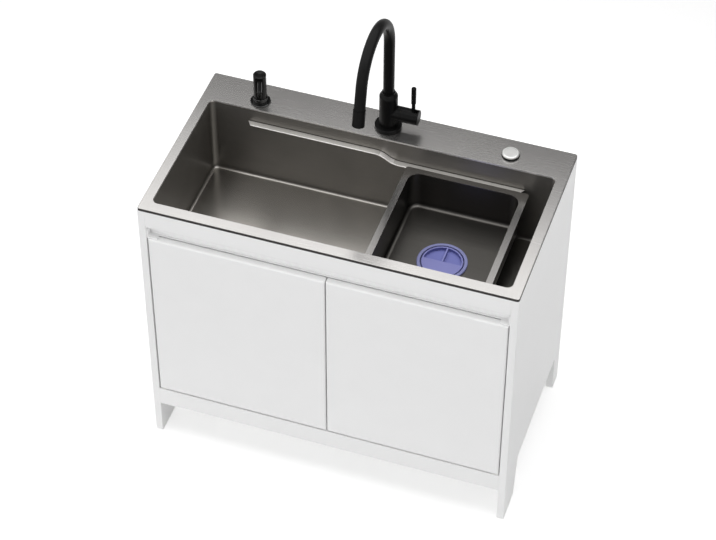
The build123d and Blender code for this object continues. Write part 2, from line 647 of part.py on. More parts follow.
def sound_pads():
    """Damping pads under the bowl, beside the waste."""
    margin = SOUND_PAD_MARGIN
    top = BOWL_UNDERSIDE
    split = WASTE_AT[0] - WASTE_FLANGE_RADIUS - margin / 2
    pads = [block(BOWL_LEFT + margin, split, BOWL_FRONT + margin, BOWL_REAR - margin, top - SOUND_PAD, top)]
    middle = (BOWL_LEFT + BOWL_RIGHT) / 2
    depth = BOWL_DEPTH / 2
    wall = BOWL_REAR + BOWL_SHEET
    for x in (middle - margin * 4, middle + margin * 4):
        pads.append(block(x - margin * 2, x + margin * 2, wall, wall + SOUND_PAD, top + margin, top + depth))
    return group(pads)


# ---- rinse basin ---------------------------------------------------------------------------------
def rinse_basin():
    """The lift-in basin that hangs by its flange from the ledge rails."""
    sheet, inset = BASIN_SHEET, BASIN_FLANGE
    x0, x1 = BASIN_LEFT + inset, BASIN_RIGHT - inset
    y0, y1 = BASIN_FRONT + inset, BASIN_REAR - inset
    flange = rounded_slab(BASIN_LEFT, BASIN_RIGHT, BASIN_FRONT, BASIN_REAR, LEDGE_LOW, BASIN_TOP,
                          BASIN_FLANGE_RADIUS)
    shell = rounded_tray(x0 - sheet, x1 + sheet, y0 - sheet, y1 + sheet, BASIN_UNDERSIDE, LEDGE_LOW,
                         BASIN_CORNER_RADIUS + sheet, BASIN_FLOOR_RADIUS + sheet)
    inner = rounded_tray(x0, x1, y0, y1, BASIN_FLOOR, BASIN_TOP, BASIN_CORNER_RADIUS, BASIN_FLOOR_RADIUS)
    hole = rod(BASIN_RING_SLEEVE_RADIUS + BASIN_RING_WALL + BASIN_HOLE_CLEARANCE,
               BASIN_UNDERSIDE, BASIN_FLOOR, WASTE_AT)
    return flange + shell - inner - hole


def basin_ring():
    """The moulded ring in the basin's waste hole, with a seat for the plug."""
    outer, bore = BASIN_RING_RADIUS, BASIN_RING_SLEEVE_RADIUS
    sleeve = bore + BASIN_RING_WALL
    top, bottom = BASIN_FLOOR + BASIN_RING_HEIGHT, BASIN_FLOOR - BASIN_RING_SLEEVE_DEPTH
    seat = BASIN_FLOOR + BASIN_RING_HEIGHT - PLUG_SEAT_DEPTH - FACE_GAP
    lip = bore - BASIN_RING_WALL * 2
    return turned([(lip, bottom), (sleeve, bottom), (sleeve, BASIN_FLOOR), (outer, BASIN_FLOOR),
                   (outer, top - RING_EDGE), (outer - RING_EDGE, top), (bore, top), (bore, seat),
                   (lip, seat)], WASTE_AT)


def basin_plug():
    """The round plug, with a half-moon finger grip parted by a rib."""
    top = BASIN_FLOOR + BASIN_RING_HEIGHT
    plug = rod(PLUG_RADIUS, top - PLUG_SEAT_DEPTH, top, WASTE_AT)
    plug = fillet(plug.edges().sort_by(Axis.Z)[-1], PLUG_EDGE_RADIUS)
    grip = rod(PLUG_GRIP_RADIUS, top - PLUG_GRIP_DEPTH, top, WASTE_AT)
    reach = PLUG_RADIUS * 2
    x, y = WASTE_AT
    grip -= block(x - reach, x + reach, y - reach, y, top - PLUG_GRIP_DEPTH, top)
    grip -= block(x - PLUG_RIB_WIDTH / 2, x + PLUG_RIB_WIDTH / 2, y, y + reach, top - PLUG_GRIP_DEPTH, top)
    return plug - grip


# ---- pop-up waste --------------------------------------------------------------------------------
def sleeve_bore():
    """The inner radius of the waste sleeve."""
    return WASTE_SLEEVE_RADIUS - WASTE_SLEEVE_WALL


def waste_lip_top():
    """The height of the inward lip that carries the basket."""
    return BOWL_FLOOR - WASTE_SLEEVE_DEPTH + WASTE_SLEEVE_WALL


def waste_flange():
    """The steel flange and sleeve in the bowl's floor."""
    top = BOWL_FLOOR + WASTE_FLANGE_HEIGHT
    bottom = BOWL_FLOOR - WASTE_SLEEVE_DEPTH
    bore = sleeve_bore()
    sleeve, rim, mouth = WASTE_SLEEVE_RADIUS, WASTE_FLANGE_RADIUS, WASTE_MOUTH_BEVEL
    return turned([(bore - WASTE_LIP, bottom), (sleeve, bottom), (sleeve, BOWL_FLOOR), (rim, BOWL_FLOOR),
                   (rim - WASTE_RIM_BEVEL, top), (bore + mouth, top), (bore, top - mouth),
                   (bore, waste_lip_top()),
                   (bore - WASTE_LIP, waste_lip_top())], WASTE_AT)


def waste_gasket():
    """The rubber ring between the bowl's underside and the waste body."""
    return ring(WASTE_FLANGE_RADIUS - WASTE_GASKET_INSET, WASTE_SLEEVE_RADIUS + WASTE_HOLE_CLEARANCE,
                BOWL_UNDERSIDE - WASTE_GASKET_HEIGHT, BOWL_UNDERSIDE, WASTE_AT)


def waste_body():
    """The moulded cup below the bowl, with its socket and the cable inlet on its side."""
    top = BOWL_UNDERSIDE - WASTE_GASKET_HEIGHT
    bottom = top - WASTE_BODY_DEPTH
    bore = WASTE_SLEEVE_RADIUS + THREAD_CLEARANCE
    wall = bore + WASTE_BODY_WALL
    rim, rim_bottom = WASTE_FLANGE_RADIUS, top - WASTE_BODY_FLANGE_HEIGHT
    cup = turned([(SOCKET_BORE, spigot_end()), (SOCKET_RADIUS, spigot_end()), (SOCKET_RADIUS, bottom),
                  (wall, bottom), (wall, rim_bottom), (rim, rim_bottom), (rim, top), (bore, top),
                  (bore, bottom + WASTE_BODY_WALL), (SOCKET_BORE, bottom + WASTE_BODY_WALL)], WASTE_AT)
    height = bottom + CABLE_PORT_HEIGHT
    inside, bite = WASTE_AT[0] + bore, CABLE_PORT_BITE
    mouth = inside + BUTTON_PORT_LENGTH
    boss = rod_x(BUTTON_PORT_RADIUS * 2, inside + bite, mouth, WASTE_AT[1], height)
    return cup + boss - rod_x(BUTTON_PORT_RADIUS, inside - bite, mouth, WASTE_AT[1], height)


def waste_basket():
    """The lift-out strainer with a guide for the stopper's stem."""
    outer = sleeve_bore() - BASKET_CLEARANCE
    bottom = waste_lip_top() + FACE_GAP
    top = bottom + BASKET_HEIGHT
    wall = BASKET_WALL
    guide = STOPPER_GUIDE_RADIUS
    bore = STOPPER_STEM_RADIUS + RUNNING_CLEARANCE
    basket = turned([(bore, bottom), (outer, bottom), (outer, top), (outer - wall, top),
                     (outer - wall, bottom + wall), (guide, bottom + wall), (guide, top - wall),
                     (bore, top - wall)], WASTE_AT)
    for index in range(BASKET_HOLES):
        turn = 2 * pi * index / BASKET_HOLES
        at = (WASTE_AT[0] + BASKET_HOLE_CIRCLE * cos(turn), WASTE_AT[1] + BASKET_HOLE_CIRCLE * sin(turn))
        basket -= rod(BASKET_HOLE_RADIUS, bottom, bottom + wall, at)
    return basket


def stopper_bottom():
    """The underside of the stopper's disc at rest."""
    return waste_lip_top() + FACE_GAP + BASKET_HEIGHT + STOPPER_SEAL_HEIGHT + FACE_GAP


def stopper():
    """The domed stopper on its stem."""
    low = stopper_bottom()
    disc = rod(STOPPER_RADIUS, low, low + STOPPER_THICKNESS, WASTE_AT)
    disc = fillet(disc.edges().sort_by(Axis.Z)[-1], STOPPER_EDGE_RADIUS)
    return disc + rod(STOPPER_STEM_RADIUS, low - STOPPER_STEM_LENGTH, low, WASTE_AT)


def stopper_seal():
    """The rubber ring under the stopper's rim."""
    low = stopper_bottom()
    outer = sleeve_bore() - STOPPER_SEAL_CLEARANCE
    return ring(outer, outer - STOPPER_SEAL_WIDTH, low - STOPPER_SEAL_HEIGHT, low, WASTE_AT)


# ---- bottle trap ---------------------------------------------------------------------------------
def spigot_end():
    """The lower end of the waste body's socket."""
    return BOWL_UNDERSIDE - WASTE_GASKET_HEIGHT - WASTE_BODY_DEPTH - WASTE_SPIGOT_LENGTH


def trap_top():
    """The height of the trap body's upper face."""
    return spigot_end() - TAILPIECE_GAP - SOCKET_DEPTH


def outlet_height():
    """The height of the trap's outlet axis, low enough for its nut to pass under the trap's top."""
    return trap_top() - NUT_RADIUS - TRAP_NUT_GAP


def trap_rim():
    """The lower end of the trap body, inside the cup."""
    return outlet_height() - NUT_RADIUS - TRAP_NUT_GAP - NUT_HEIGHT


def tailpiece():
    """The straight pipe from the waste body into the trap."""
    return ring(PIPE_RADIUS, PIPE_RADIUS - PIPE_WALL, trap_top() - TAILPIECE_DIP,
                spigot_end() + TAILPIECE_INSERT, WASTE_AT)


def trap_body():
    """The trap's upper body, with its inlet socket and side outlet."""
    top, bottom, socket = trap_top(), trap_rim(), trap_top() + SOCKET_DEPTH
    outer, bore = TRAP_BODY_RADIUS, TRAP_BODY_RADIUS - TRAP_WALL
    body = turned([(SOCKET_BORE, socket), (SOCKET_RADIUS, socket), (SOCKET_RADIUS, top), (outer, top),
                   (outer, bottom), (bore, bottom), (bore, top - TRAP_WALL), (SOCKET_BORE, top - TRAP_WALL)],
                  WASTE_AT)
    x, y = WASTE_AT
    end = y + outer + SOCKET_DEPTH
    stub = rod_y(SOCKET_RADIUS, y + bore, end, x, outlet_height())
    stub -= rod(bore, bottom, top - TRAP_WALL, WASTE_AT)
    return body + stub - rod_y(SOCKET_BORE, y, end, x, outlet_height())


def trap_cup():
    """The cup that unscrews from the trap for cleaning."""
    rim = trap_rim() - FACE_GAP
    top = trap_rim() + NUT_HEIGHT
    bottom = top - TRAP_CUP_HEIGHT
    bore = TRAP_BODY_RADIUS + THREAD_CLEARANCE
    inner, outer = TRAP_BODY_RADIUS - TRAP_WALL, TRAP_BODY_RADIUS + TRAP_CUP_WALL
    slope = bottom + TRAP_CUP_SLOPE
    return turned([(0, bottom), (inner, bottom), (outer, slope), (outer, top), (bore, top), (bore, rim),
                   (inner, rim), (inner, slope), (inner - TRAP_CUP_SLOPE / 2, bottom + TRAP_WALL),
                   (0, bottom + TRAP_WALL)], WASTE_AT)


def trap_nuts():
    """The three equal nuts on the waste socket, the trap's inlet and its outlet."""
    x, y = WASTE_AT
    bore = SOCKET_RADIUS + THREAD_CLEARANCE
    upper, lower = (ring(NUT_RADIUS, bore, low, low + NUT_HEIGHT, WASTE_AT)
                    for low in (spigot_end() + NUT_SEAT_GAP, trap_top() + NUT_SEAT_GAP))
    face = y + TRAP_BODY_RADIUS + NUT_SEAT_GAP
    outlet = rod_y(NUT_RADIUS, face, face + NUT_HEIGHT, x, outlet_height())
    outlet -= rod_y(bore, face, face + NUT_HEIGHT, x, outlet_height())
    return group([upper, lower, outlet])


def outlet_pipe():
    """The pipe from the trap towards the wall, with a bead that stops the wall's socket."""
    x, y = WASTE_AT
    start, end = y + TRAP_BODY_RADIUS + PIPE_SEAT_GAP, REAR - OUTLET_END_INSET
    bead = end - OUTLET_SPIGOT
    pipe = rod_y(PIPE_RADIUS, start, end, x, outlet_height())
    pipe += rod_y(OUTLET_BEAD_RADIUS, bead - OUTLET_BEAD_WIDTH, bead, x, outlet_height())
    return pipe - rod_y(PIPE_RADIUS - PIPE_WALL, start, end, x, outlet_height())


# ---- deck fittings -------------------------------------------------------------------------------
def deck_washer(radius, at):
    """A rubber washer under the deck around a threaded shank."""
    return ring(radius + FIXING_RIM, radius + THREAD_CLEARANCE, DECK_UNDERSIDE - FIXING_WASHER_HEIGHT,
                DECK_UNDERSIDE, at)


def deck_nut(radius, at):
    """A six-sided nut that clamps a fitting to the deck."""
    top = DECK_UNDERSIDE - FIXING_WASHER_HEIGHT
    body = extrude(RegularPolygon(radius + FIXING_RIM, 6), FIXING_NUT_HEIGHT)
    body -= Pos(0, 0, FIXING_NUT_HEIGHT / 2) * Cylinder(radius + THREAD_CLEARANCE, FIXING_NUT_HEIGHT)
    return Pos(at[0], at[1], top - FIXING_NUT_HEIGHT) * body


def button_body():
    """The button's dark collar and threaded barrel, with the cable inlet at its foot."""
    foot = DECK_UNDERSIDE - BUTTON_BARREL_LENGTH
    bore = BUTTON_STEM_RADIUS + BUTTON_STEM_CLEARANCE
    port = foot + BUTTON_PORT_LENGTH
    collar = DECK_TOP + BUTTON_COLLAR_HEIGHT
    bevel = BUTTON_COLLAR_BEVEL
    return turned([(BUTTON_PORT_RADIUS, foot), (FITTING_RADIUS, foot), (FITTING_RADIUS, DECK_TOP),
                   (BUTTON_COLLAR_RADIUS, DECK_TOP), (BUTTON_COLLAR_RADIUS, collar - bevel),
                   (BUTTON_COLLAR_RADIUS - bevel, collar), (BUTTON_NECK_RADIUS, collar),
                   (BUTTON_NECK_RADIUS, DECK_TOP + BUTTON_NECK_HEIGHT), (bore, DECK_TOP + BUTTON_NECK_HEIGHT),
                   (bore, port), (BUTTON_PORT_RADIUS, port)], BUTTON_AT)


def drain_button():
    """The pressed cap and its stem."""
    bottom = DECK_TOP + BUTTON_COLLAR_HEIGHT + FACE_GAP + BUTTON_TRAVEL
    top = bottom + BUTTON_HEIGHT
    inner = BUTTON_RADIUS - BUTTON_WALL
    roof = top - BUTTON_WALL
    foot = DECK_UNDERSIDE - BUTTON_BARREL_LENGTH + BUTTON_PORT_LENGTH + BUTTON_TRAVEL + BUTTON_FOOT_GAP
    return turned([(0, foot), (BUTTON_STEM_RADIUS, foot), (BUTTON_STEM_RADIUS, roof), (inner, roof),
                   (inner, bottom), (BUTTON_RADIUS, bottom), (BUTTON_RADIUS, top - BUTTON_EDGE),
                   (BUTTON_RADIUS - BUTTON_EDGE, top - BUTTON_CROWN), (BUTTON_RADIUS - BUTTON_DOME, top),
                   (0, top)], BUTTON_AT)


def pump_collar():
    """The pump's flange, barrel and threaded shank."""
    bore = PUMP_HEAD_RADIUS + PUMP_BORE_CLEARANCE
    top = DECK_TOP + PUMP_BARREL_HEIGHT
    flange = DECK_TOP + PUMP_COLLAR_FLANGE
    seat = DECK_TOP + PUMP_HEAD_BOTTOM - PUMP_TRAVEL - PUMP_SEAT_GAP
    edge = PUMP_EDGE
    foot = DECK_UNDERSIDE - PUMP_SHANK_LENGTH
    return turned([(PUMP_SHANK_BORE, foot), (FITTING_RADIUS, foot), (FITTING_RADIUS, DECK_TOP),
                   (PUMP_COLLAR_RADIUS, DECK_TOP), (PUMP_COLLAR_RADIUS, flange - edge),
                   (PUMP_COLLAR_RADIUS - edge, flange), (PUMP_BARREL_RADIUS, flange),
                   (PUMP_BARREL_RADIUS, top - edge), (PUMP_BARREL_RADIUS - edge, top), (bore, top),
                   (bore, seat), (PUMP_SHANK_BORE, seat)], PUMP_AT)


def pump_head():
    """The pressed head with its nozzle, turned towards the bowl."""
    bottom, top = DECK_TOP + PUMP_HEAD_BOTTOM, DECK_TOP + PUMP_HEAD_TOP
    radius = PUMP_HEAD_RADIUS
    lip, edge = PUMP_HEAD_LIP, PUMP_EDGE
    head = turned([(0, bottom), (radius - edge, bottom), (radius, bottom + edge), (radius, top - lip),
                   (radius - lip, top), (radius - PUMP_HEAD_DISH, top), (0, top - PUMP_HEAD_DISH_DEPTH)],
                  PUMP_AT)
    height = DECK_TOP + PUMP_NOZZLE_HEIGHT
    reach = PUMP_NOZZLE_REACH
    tip = PUMP_NOZZLE_TIP_LENGTH
    nozzle = rod_y(PUMP_NOZZLE_RADIUS, -reach, -radius / 2, 0, height)
    nozzle += Pos(0, -reach, height) * Sphere(PUMP_NOZZLE_RADIUS)
    mouth = height - PUMP_NOZZLE_RADIUS - tip
    nozzle += rod(PUMP_NOZZLE_RADIUS - PUMP_NOZZLE_TIP_INSET, mouth, height, (0, -reach))
    bore = rod(PUMP_NOZZLE_BORE, mouth, height, (0, -reach))
    turned_nozzle = Rot(0, 0, PUMP_NOZZLE_TURN) * (nozzle - bore)
    return head + Pos(PUMP_AT[0], PUMP_AT[1], 0) * turned_nozzle


def pump_stem_bottom():
    """The lower end of the pump's stem at rest."""
    return DECK_TOP + PUMP_HEAD_BOTTOM - PUMP_STEM_LENGTH


def pump_stem():
    """The stem that the head presses down."""
    return rod(PUMP_STEM_RADIUS, pump_stem_bottom(), DECK_TOP + PUMP_HEAD_BOTTOM, PUMP_AT)


def pump_cylinder():
    """The pump chamber in the shank, around the lower end of the stem, with its dip tube."""
    foot = DECK_UNDERSIDE - PUMP_SHANK_LENGTH
    bore = PUMP_STEM_RADIUS + PUMP_STEM_CLEARANCE
    outer = PUMP_SHANK_BORE
    slim = outer - PUMP_CYLINDER_SLIP
    top = foot + PUMP_CYLINDER_LENGTH / 2
    bottom = pump_stem_bottom() - PUMP_TRAVEL - PUMP_STEM_END_GAP
    tube_end = bottle_bottom() + BOTTLE_WALL + DIP_TUBE_GAP
    return turned([(0, tube_end), (DIP_TUBE_RADIUS, tube_end), (DIP_TUBE_RADIUS, bottom), (slim, bottom),
                   (slim, foot), (outer, foot), (outer, top), (bore, top),
                   (bore, bottom + PUMP_CYLINDER_WALL), (0, bottom + PUMP_CYLINDER_WALL)], PUMP_AT)


def bottle_bottom():
    """The underside of the soap bottle."""
    return DECK_UNDERSIDE - PUMP_SHANK_LENGTH + BOTTLE_NECK_LENGTH - BOTTLE_HEIGHT


def soap_bottle():
    """The bottle that screws onto the pump's shank."""
    bore = FITTING_RADIUS + THREAD_CLEARANCE
    neck = bore + BOTTLE_NECK_WALL
    bottom = bottle_bottom()
    top = bottom + BOTTLE_HEIGHT
    shoulder = top - BOTTLE_NECK_LENGTH
    slope, edge = BOTTLE_SLOPE, BOTTLE_EDGE
    radius, wall = BOTTLE_RADIUS, BOTTLE_WALL
    return turned([(0, bottom), (radius - edge, bottom), (radius, bottom + edge), (radius, shoulder - slope),
                   (neck, shoulder), (neck, top), (bore, top), (bore, shoulder - wall),
                   (radius - wall, shoulder - slope - wall), (radius - wall, bottom + edge + wall),
                   (radius - edge - wall, bottom + wall), (0, bottom + wall)], PUMP_AT)


# ---- mixer ---------------------------------------------------------------------------------------
def faucet_gasket():
    """The thin gasket under the mixer's flange."""
    return ring(FLANGE_RADIUS - BASE_GASKET_INSET, SHANK_RADIUS + THREAD_CLEARANCE, DECK_TOP, BODY_BASE,
                FAUCET_AT)


def faucet_shank():
    """The hollow threaded shank through the deck, for the supply hoses."""
    return ring(SHANK_RADIUS, SHANK_BORE, DECK_UNDERSIDE - SHANK_LENGTH, BODY_BASE, FAUCET_AT)


def faucet_body():
    """The mixer's flange, column and side stub, with its spout socket and hose ports."""
    x, y = FAUCET_AT
    base, top = BODY_BASE, BODY_TOP
    shoulder = top - BODY_SHOULDER_HEIGHT
    neck = BODY_RADIUS - BODY_SHOULDER_INSET
    flange = DECK_TOP + FLANGE_HEIGHT
    edge, bevel = BODY_EDGE, BODY_TOP_BEVEL
    column = turned([(0, base), (FLANGE_RADIUS, base), (FLANGE_RADIUS, flange - edge),
                     (FLANGE_RADIUS - edge, flange), (BODY_RADIUS, flange), (BODY_RADIUS, shoulder),
                     (BODY_RADIUS - edge, shoulder + BODY_SHOULDER_RISE), (neck, top - bevel),
                     (neck - bevel, top), (0, top)], FAUCET_AT)
    stub = rod_x(BARREL_RADIUS, x, x + BARREL_SEAM, y, BARREL_AXIS)
    body = column + stub
    body -= rod(SPOUT_RADIUS + RUNNING_CLEARANCE, top - SPOUT_SOCKET_DEPTH, top, FAUCET_AT)
    body -= rod_x(CARTRIDGE_RADIUS + RUNNING_CLEARANCE, x + CARTRIDGE_START, x + BARREL_SEAM, y, BARREL_AXIS)
    for side, _ in SIDES:
        body -= rod(HOSE_PORT_RADIUS, base, base + HOSE_PORT_LENGTH, (x + side * HOSE_PORT_OFFSET, y))
    return body


def spout_path():
    """The spout's centre line: riser, arc and drooping front limb."""
    x, y = FAUCET_AT
    start = BODY_TOP - SPOUT_SOCKET_DEPTH + FACE_GAP
    crown = DECK_TOP + SPOUT_ARC_HEIGHT
    riser = Line((x, y, start), (x, y, crown))
    sweep_angle = radians(180 - SPOUT_DROOP)
    centre = Vector(x, y - SPOUT_ARC_RADIUS, crown)

    def on_arc(turn):
        return centre + Vector(0, SPOUT_ARC_RADIUS * cos(turn), SPOUT_ARC_RADIUS * sin(turn))

    arc = ThreePointArc(on_arc(0), on_arc(sweep_angle / 2), on_arc(sweep_angle))
    droop = radians(SPOUT_DROOP)
    end = on_arc(sweep_angle)
    tip = end + Vector(0, -sin(droop), -cos(droop)) * SPOUT_LIMB
    return riser, arc, Line(end, tip)


def spout_frame(offset):
    """A plane across the front limb, offset back from the tip, facing the outlet."""
    limb = spout_path()[2]
    direction = limb % 1
    return Plane(origin=(limb @ 1) - direction * offset, z_dir=direction)


def faucet_spout():
    """The hollow gooseneck, with the collar that hides its joint with the body."""
    riser, arc, limb = spout_path()
    path = Wire([riser, arc, limb])
    start = Plane(origin=path @ 0, z_dir=(0, 0, 1))
    tube = sweep(start * Circle(SPOUT_RADIUS), path=path)
    tube -= sweep(start * Circle(SPOUT_RADIUS - SPOUT_WALL), path=path)
    low = BODY_TOP + FACE_GAP
    return tube + ring(SPOUT_COLLAR_RADIUS, SPOUT_RADIUS - SPOUT_WALL / 2, low, low + SPOUT_COLLAR_HEIGHT,
                       FAUCET_AT)


def spout_sleeve():
    """The plain sleeve around the spout's mouth."""
    plane = spout_frame(SLEEVE_LENGTH)
    outer = plane * Circle(SPOUT_RADIUS + SLEEVE_WALL)
    inner = plane * Circle(SPOUT_RADIUS)
    length = SLEEVE_LENGTH + SLEEVE_OVERHANG
    return extrude(outer, length) - extrude(inner, length)


def aerator():
    """The aerator in the spout's mouth."""
    plane = spout_frame(AERATOR_HEIGHT)
    radius = SPOUT_RADIUS - SPOUT_WALL
    body = extrude(plane * Circle(radius), AERATOR_HEIGHT)
    for place in PolarLocations(radius / 2, AERATOR_HOLES):
        body -= extrude(plane * place * Circle(AERATOR_HOLE_RADIUS), AERATOR_HEIGHT)
    return body


def cartridge():
    """The mixing cartridge in the side stub, with its stem."""
    x, y = FAUCET_AT
    body = rod_x(CARTRIDGE_RADIUS, x + CARTRIDGE_START, x + CARTRIDGE_END, y, BARREL_AXIS)
    stem_end = x + LEVER_REACH - LEVER_BALL_RADIUS - FACE_GAP
    return body + rod_x(CARTRIDGE_STEM_RADIUS, x + CARTRIDGE_START, stem_end, y, BARREL_AXIS)


def lever_hub():
    """The turning end of the side barrel, slotted for the lever."""
    x, y = FAUCET_AT
    start, end = x + BARREL_SEAM + HUB_GAP, x + HUB_END
    hub = rod_x(BARREL_RADIUS, start, end, y, BARREL_AXIS)
    hub = fillet(hub.edges().sort_by(Axis.X)[-1], HUB_EDGE_RADIUS)
    hub -= rod_x(HUB_BORE, start, end - HUB_END_WALL, y, BARREL_AXIS)
    lever = x + LEVER_REACH
    lean = BARREL_RADIUS * sin(radians(LEVER_TILT)) / cos(radians(LEVER_TILT))
    half = LEVER_NECK_RADIUS + LEVER_SLOT_CLEARANCE
    slot = rod(half, BARREL_AXIS, BARREL_AXIS + BARREL_RADIUS, (lever, y))
    slot += block(lever, lever + lean + half, y - half, y + half, BARREL_AXIS, BARREL_AXIS + BARREL_RADIUS)
    hub -= slot
    pin = LEVER_PIN_HALF_LENGTH
    return hub - rod_y(LEVER_PIN_RADIUS, y - pin, y + pin, lever, BARREL_AXIS)


def lever_pin():
    """The pin across the hub on which the lever tilts."""
    x, y = FAUCET_AT
    pin = LEVER_PIN_HALF_LENGTH
    return rod_y(LEVER_PIN_RADIUS, y - pin, y + pin, x + LEVER_REACH, BARREL_AXIS)


def lever_rod():
    """The lever: a ball on the pin, a thin neck and a thicker grip."""
    x, y = FAUCET_AT
    at = (x + LEVER_REACH, y)
    grip = BARREL_AXIS + LEVER_GRIP_START
    top = BARREL_AXIS + LEVER_TOP
    lever = rod(LEVER_NECK_RADIUS, BARREL_AXIS, grip, at)
    handle = rod(LEVER_GRIP_RADIUS, grip, top, at)
    lever += fillet(handle.edges().filter_by(GeomType.CIRCLE), LEVER_GRIP_EDGE)
    lever += Pos(at[0], at[1], BARREL_AXIS) * Sphere(LEVER_BALL_RADIUS)
    reach = LEVER_BALL_RADIUS
    return lever - rod_y(LEVER_PIN_RADIUS + RUNNING_CLEARANCE, y - reach, y + reach, at[0], BARREL_AXIS)


# ---- all nodes -----------------------------------------------------------------------------------
def build_nodes():
    """Every node of the unit by name."""
    nodes = {}
    for (side, name), at in zip(SIDES, pivot_places()):
        nodes[f"side_panel_{name}"] = side_panel(side)
        nodes[f"door_{name}"] = door(side)
        nodes[f"door_pins_{name}"] = pivot_pins(at)
        nodes[f"strike_plate_{name}"] = strike_plate(side)
    nodes["foot_glides"] = foot_glides()
    nodes["bottom_shelf"] = bottom_shelf()
    nodes["kick_board"] = kick_board()
    nodes["front_rail"] = front_rail()
    nodes["rear_rail"] = rear_rail()
    nodes["finger_channel"] = finger_channel()
    nodes["back_board"] = back_board()
    nodes["cam_locks"] = cam_locks()
    nodes["pivot_bushes"] = pivot_bushes()
    nodes["pivot_plates"] = pivot_plates()
    nodes["magnetic_catches"] = magnetic_catches()
    nodes["deck"] = deck()
    nodes["deck_seal"] = deck_seal()
    nodes["bowl"] = bowl()
    nodes["ledge_rail_rear"] = ledge_rail(BOWL_REAR, -1)
    nodes["ledge_rail_front"] = ledge_rail(BOWL_FRONT, 1)
    nodes["sound_pads"] = sound_pads()
    nodes["rinse_basin"] = rinse_basin()
    nodes["basin_ring"] = basin_ring()
    nodes["basin_plug"] = basin_plug()
    nodes["waste_flange"] = waste_flange()
    nodes["waste_gasket"] = waste_gasket()
    nodes["waste_body"] = waste_body()
    nodes["waste_basket"] = waste_basket()
    nodes["stopper"] = stopper()
    nodes["stopper_seal"] = stopper_seal()
    nodes["tailpiece"] = tailpiece()
    nodes["trap_body"] = trap_body()
    nodes["trap_cup"] = trap_cup()
    nodes["trap_nuts"] = trap_nuts()
    nodes["outlet_pipe"] = outlet_pipe()
    nodes["button_body"] = button_body()
    nodes["drain_button"] = drain_button()
    nodes["pump_collar"] = pump_collar()
    nodes["pump_head"] = pump_head()
    nodes["pump_stem"] = pump_stem()
    nodes["pump_cylinder"] = pump_cylinder()
    nodes["soap_bottle"] = soap_bottle()
    nodes["fitting_washers"] = group([deck_washer(FITTING_RADIUS, at) for at in (BUTTON_AT, PUMP_AT)])
    nodes["fitting_nuts"] = group([deck_nut(FITTING_RADIUS, at) for at in (BUTTON_AT, PUMP_AT)])
    nodes["faucet_washer"] = deck_washer(SHANK_RADIUS, FAUCET_AT)
    nodes["faucet_nut"] = deck_nut(SHANK_RADIUS, FAUCET_AT)
    nodes["faucet_gasket"] = faucet_gasket()
    nodes["faucet_shank"] = faucet_shank()
    nodes["faucet_body"] = faucet_body()
    nodes["faucet_spout"] = faucet_spout()
    nodes["spout_sleeve"] = spout_sleeve()
    nodes["aerator"] = aerator()
    nodes["cartridge"] = cartridge()
    nodes["lever_hub"] = lever_hub()
    nodes["lever_pin"] = lever_pin()
    nodes["lever_rod"] = lever_rod()
    return nodes


os.makedirs("parts", exist_ok=True)
for node, shape in build_nodes().items():
    export_step(shape, f"parts/{node}.step")
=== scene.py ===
import json
import logging
import math
from dataclasses import dataclass
from enum import Enum
from typing import Callable, Iterable, Optional, Union

import bmesh
import bpy
from mathutils import Euler, Matrix, Vector

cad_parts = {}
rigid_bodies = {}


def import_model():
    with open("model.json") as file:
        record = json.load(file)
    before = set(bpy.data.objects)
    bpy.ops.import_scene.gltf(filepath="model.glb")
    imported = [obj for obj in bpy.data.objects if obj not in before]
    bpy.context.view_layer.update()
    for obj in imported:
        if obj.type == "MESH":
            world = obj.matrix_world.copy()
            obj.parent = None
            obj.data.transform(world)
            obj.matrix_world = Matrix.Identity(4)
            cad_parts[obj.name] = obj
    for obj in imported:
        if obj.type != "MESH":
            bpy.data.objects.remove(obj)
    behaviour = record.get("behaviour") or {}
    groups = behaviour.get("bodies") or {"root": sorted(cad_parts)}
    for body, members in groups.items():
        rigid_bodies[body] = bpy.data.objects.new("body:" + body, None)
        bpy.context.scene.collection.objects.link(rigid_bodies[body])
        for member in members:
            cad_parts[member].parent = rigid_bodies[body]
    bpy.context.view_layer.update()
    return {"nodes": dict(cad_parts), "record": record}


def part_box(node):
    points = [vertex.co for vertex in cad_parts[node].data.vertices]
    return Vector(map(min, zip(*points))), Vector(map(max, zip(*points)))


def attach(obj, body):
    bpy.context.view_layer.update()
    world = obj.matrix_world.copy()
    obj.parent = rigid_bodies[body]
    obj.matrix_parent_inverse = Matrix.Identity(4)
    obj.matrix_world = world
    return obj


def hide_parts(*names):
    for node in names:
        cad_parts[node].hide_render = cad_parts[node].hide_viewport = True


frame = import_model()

# Looks for the kitchen sink unit: white lacquered cabinet, brushed steel sink with a sliding rinse
# basin, black mixer, soap pump and waste button. Places are in metres, in the frame of the packed
# model; sizes of finishes and small pieces are in millimetres, unless their class says otherwise.

LOG = logging.getLogger("kitchen_sink_unit")
MM = 0.001

NODES = frame["nodes"]
BODIES = {node: body for body, nodes in frame["record"]["behaviour"]["bodies"].items() for node in nodes}


# ---- small helpers ----
def linear(code: str) -> tuple[float, float, float, float]:
    """Turn an sRGB hex colour into the linear colour that a shader socket takes.

    Args:
        code: The colour as "#RRGGBB".

    Returns:
        Linear red, green, blue and an alpha of 1.
    """
    parts = [int(code[i:i + 2], 16) / 255 for i in (1, 3, 5)]
    turned = [c / 12.92 if c <= 0.04045 else ((c + 0.055) / 1.055) ** 2.4 for c in parts]
    return (turned[0], turned[1], turned[2], 1.0)


def scaled(code: str, factor: float) -> tuple[float, float, float, float]:
    """Darken or brighten an sRGB hex colour.

    Args:
        code: The colour as "#RRGGBB".
        factor: What its linear parts are multiplied by, up to white.

    Returns:
        Linear red, green, blue and an alpha of 1.
    """
    red, green, blue, _ = linear(code)
    return (min(red * factor, 1), min(green * factor, 1), min(blue * factor, 1), 1.0)


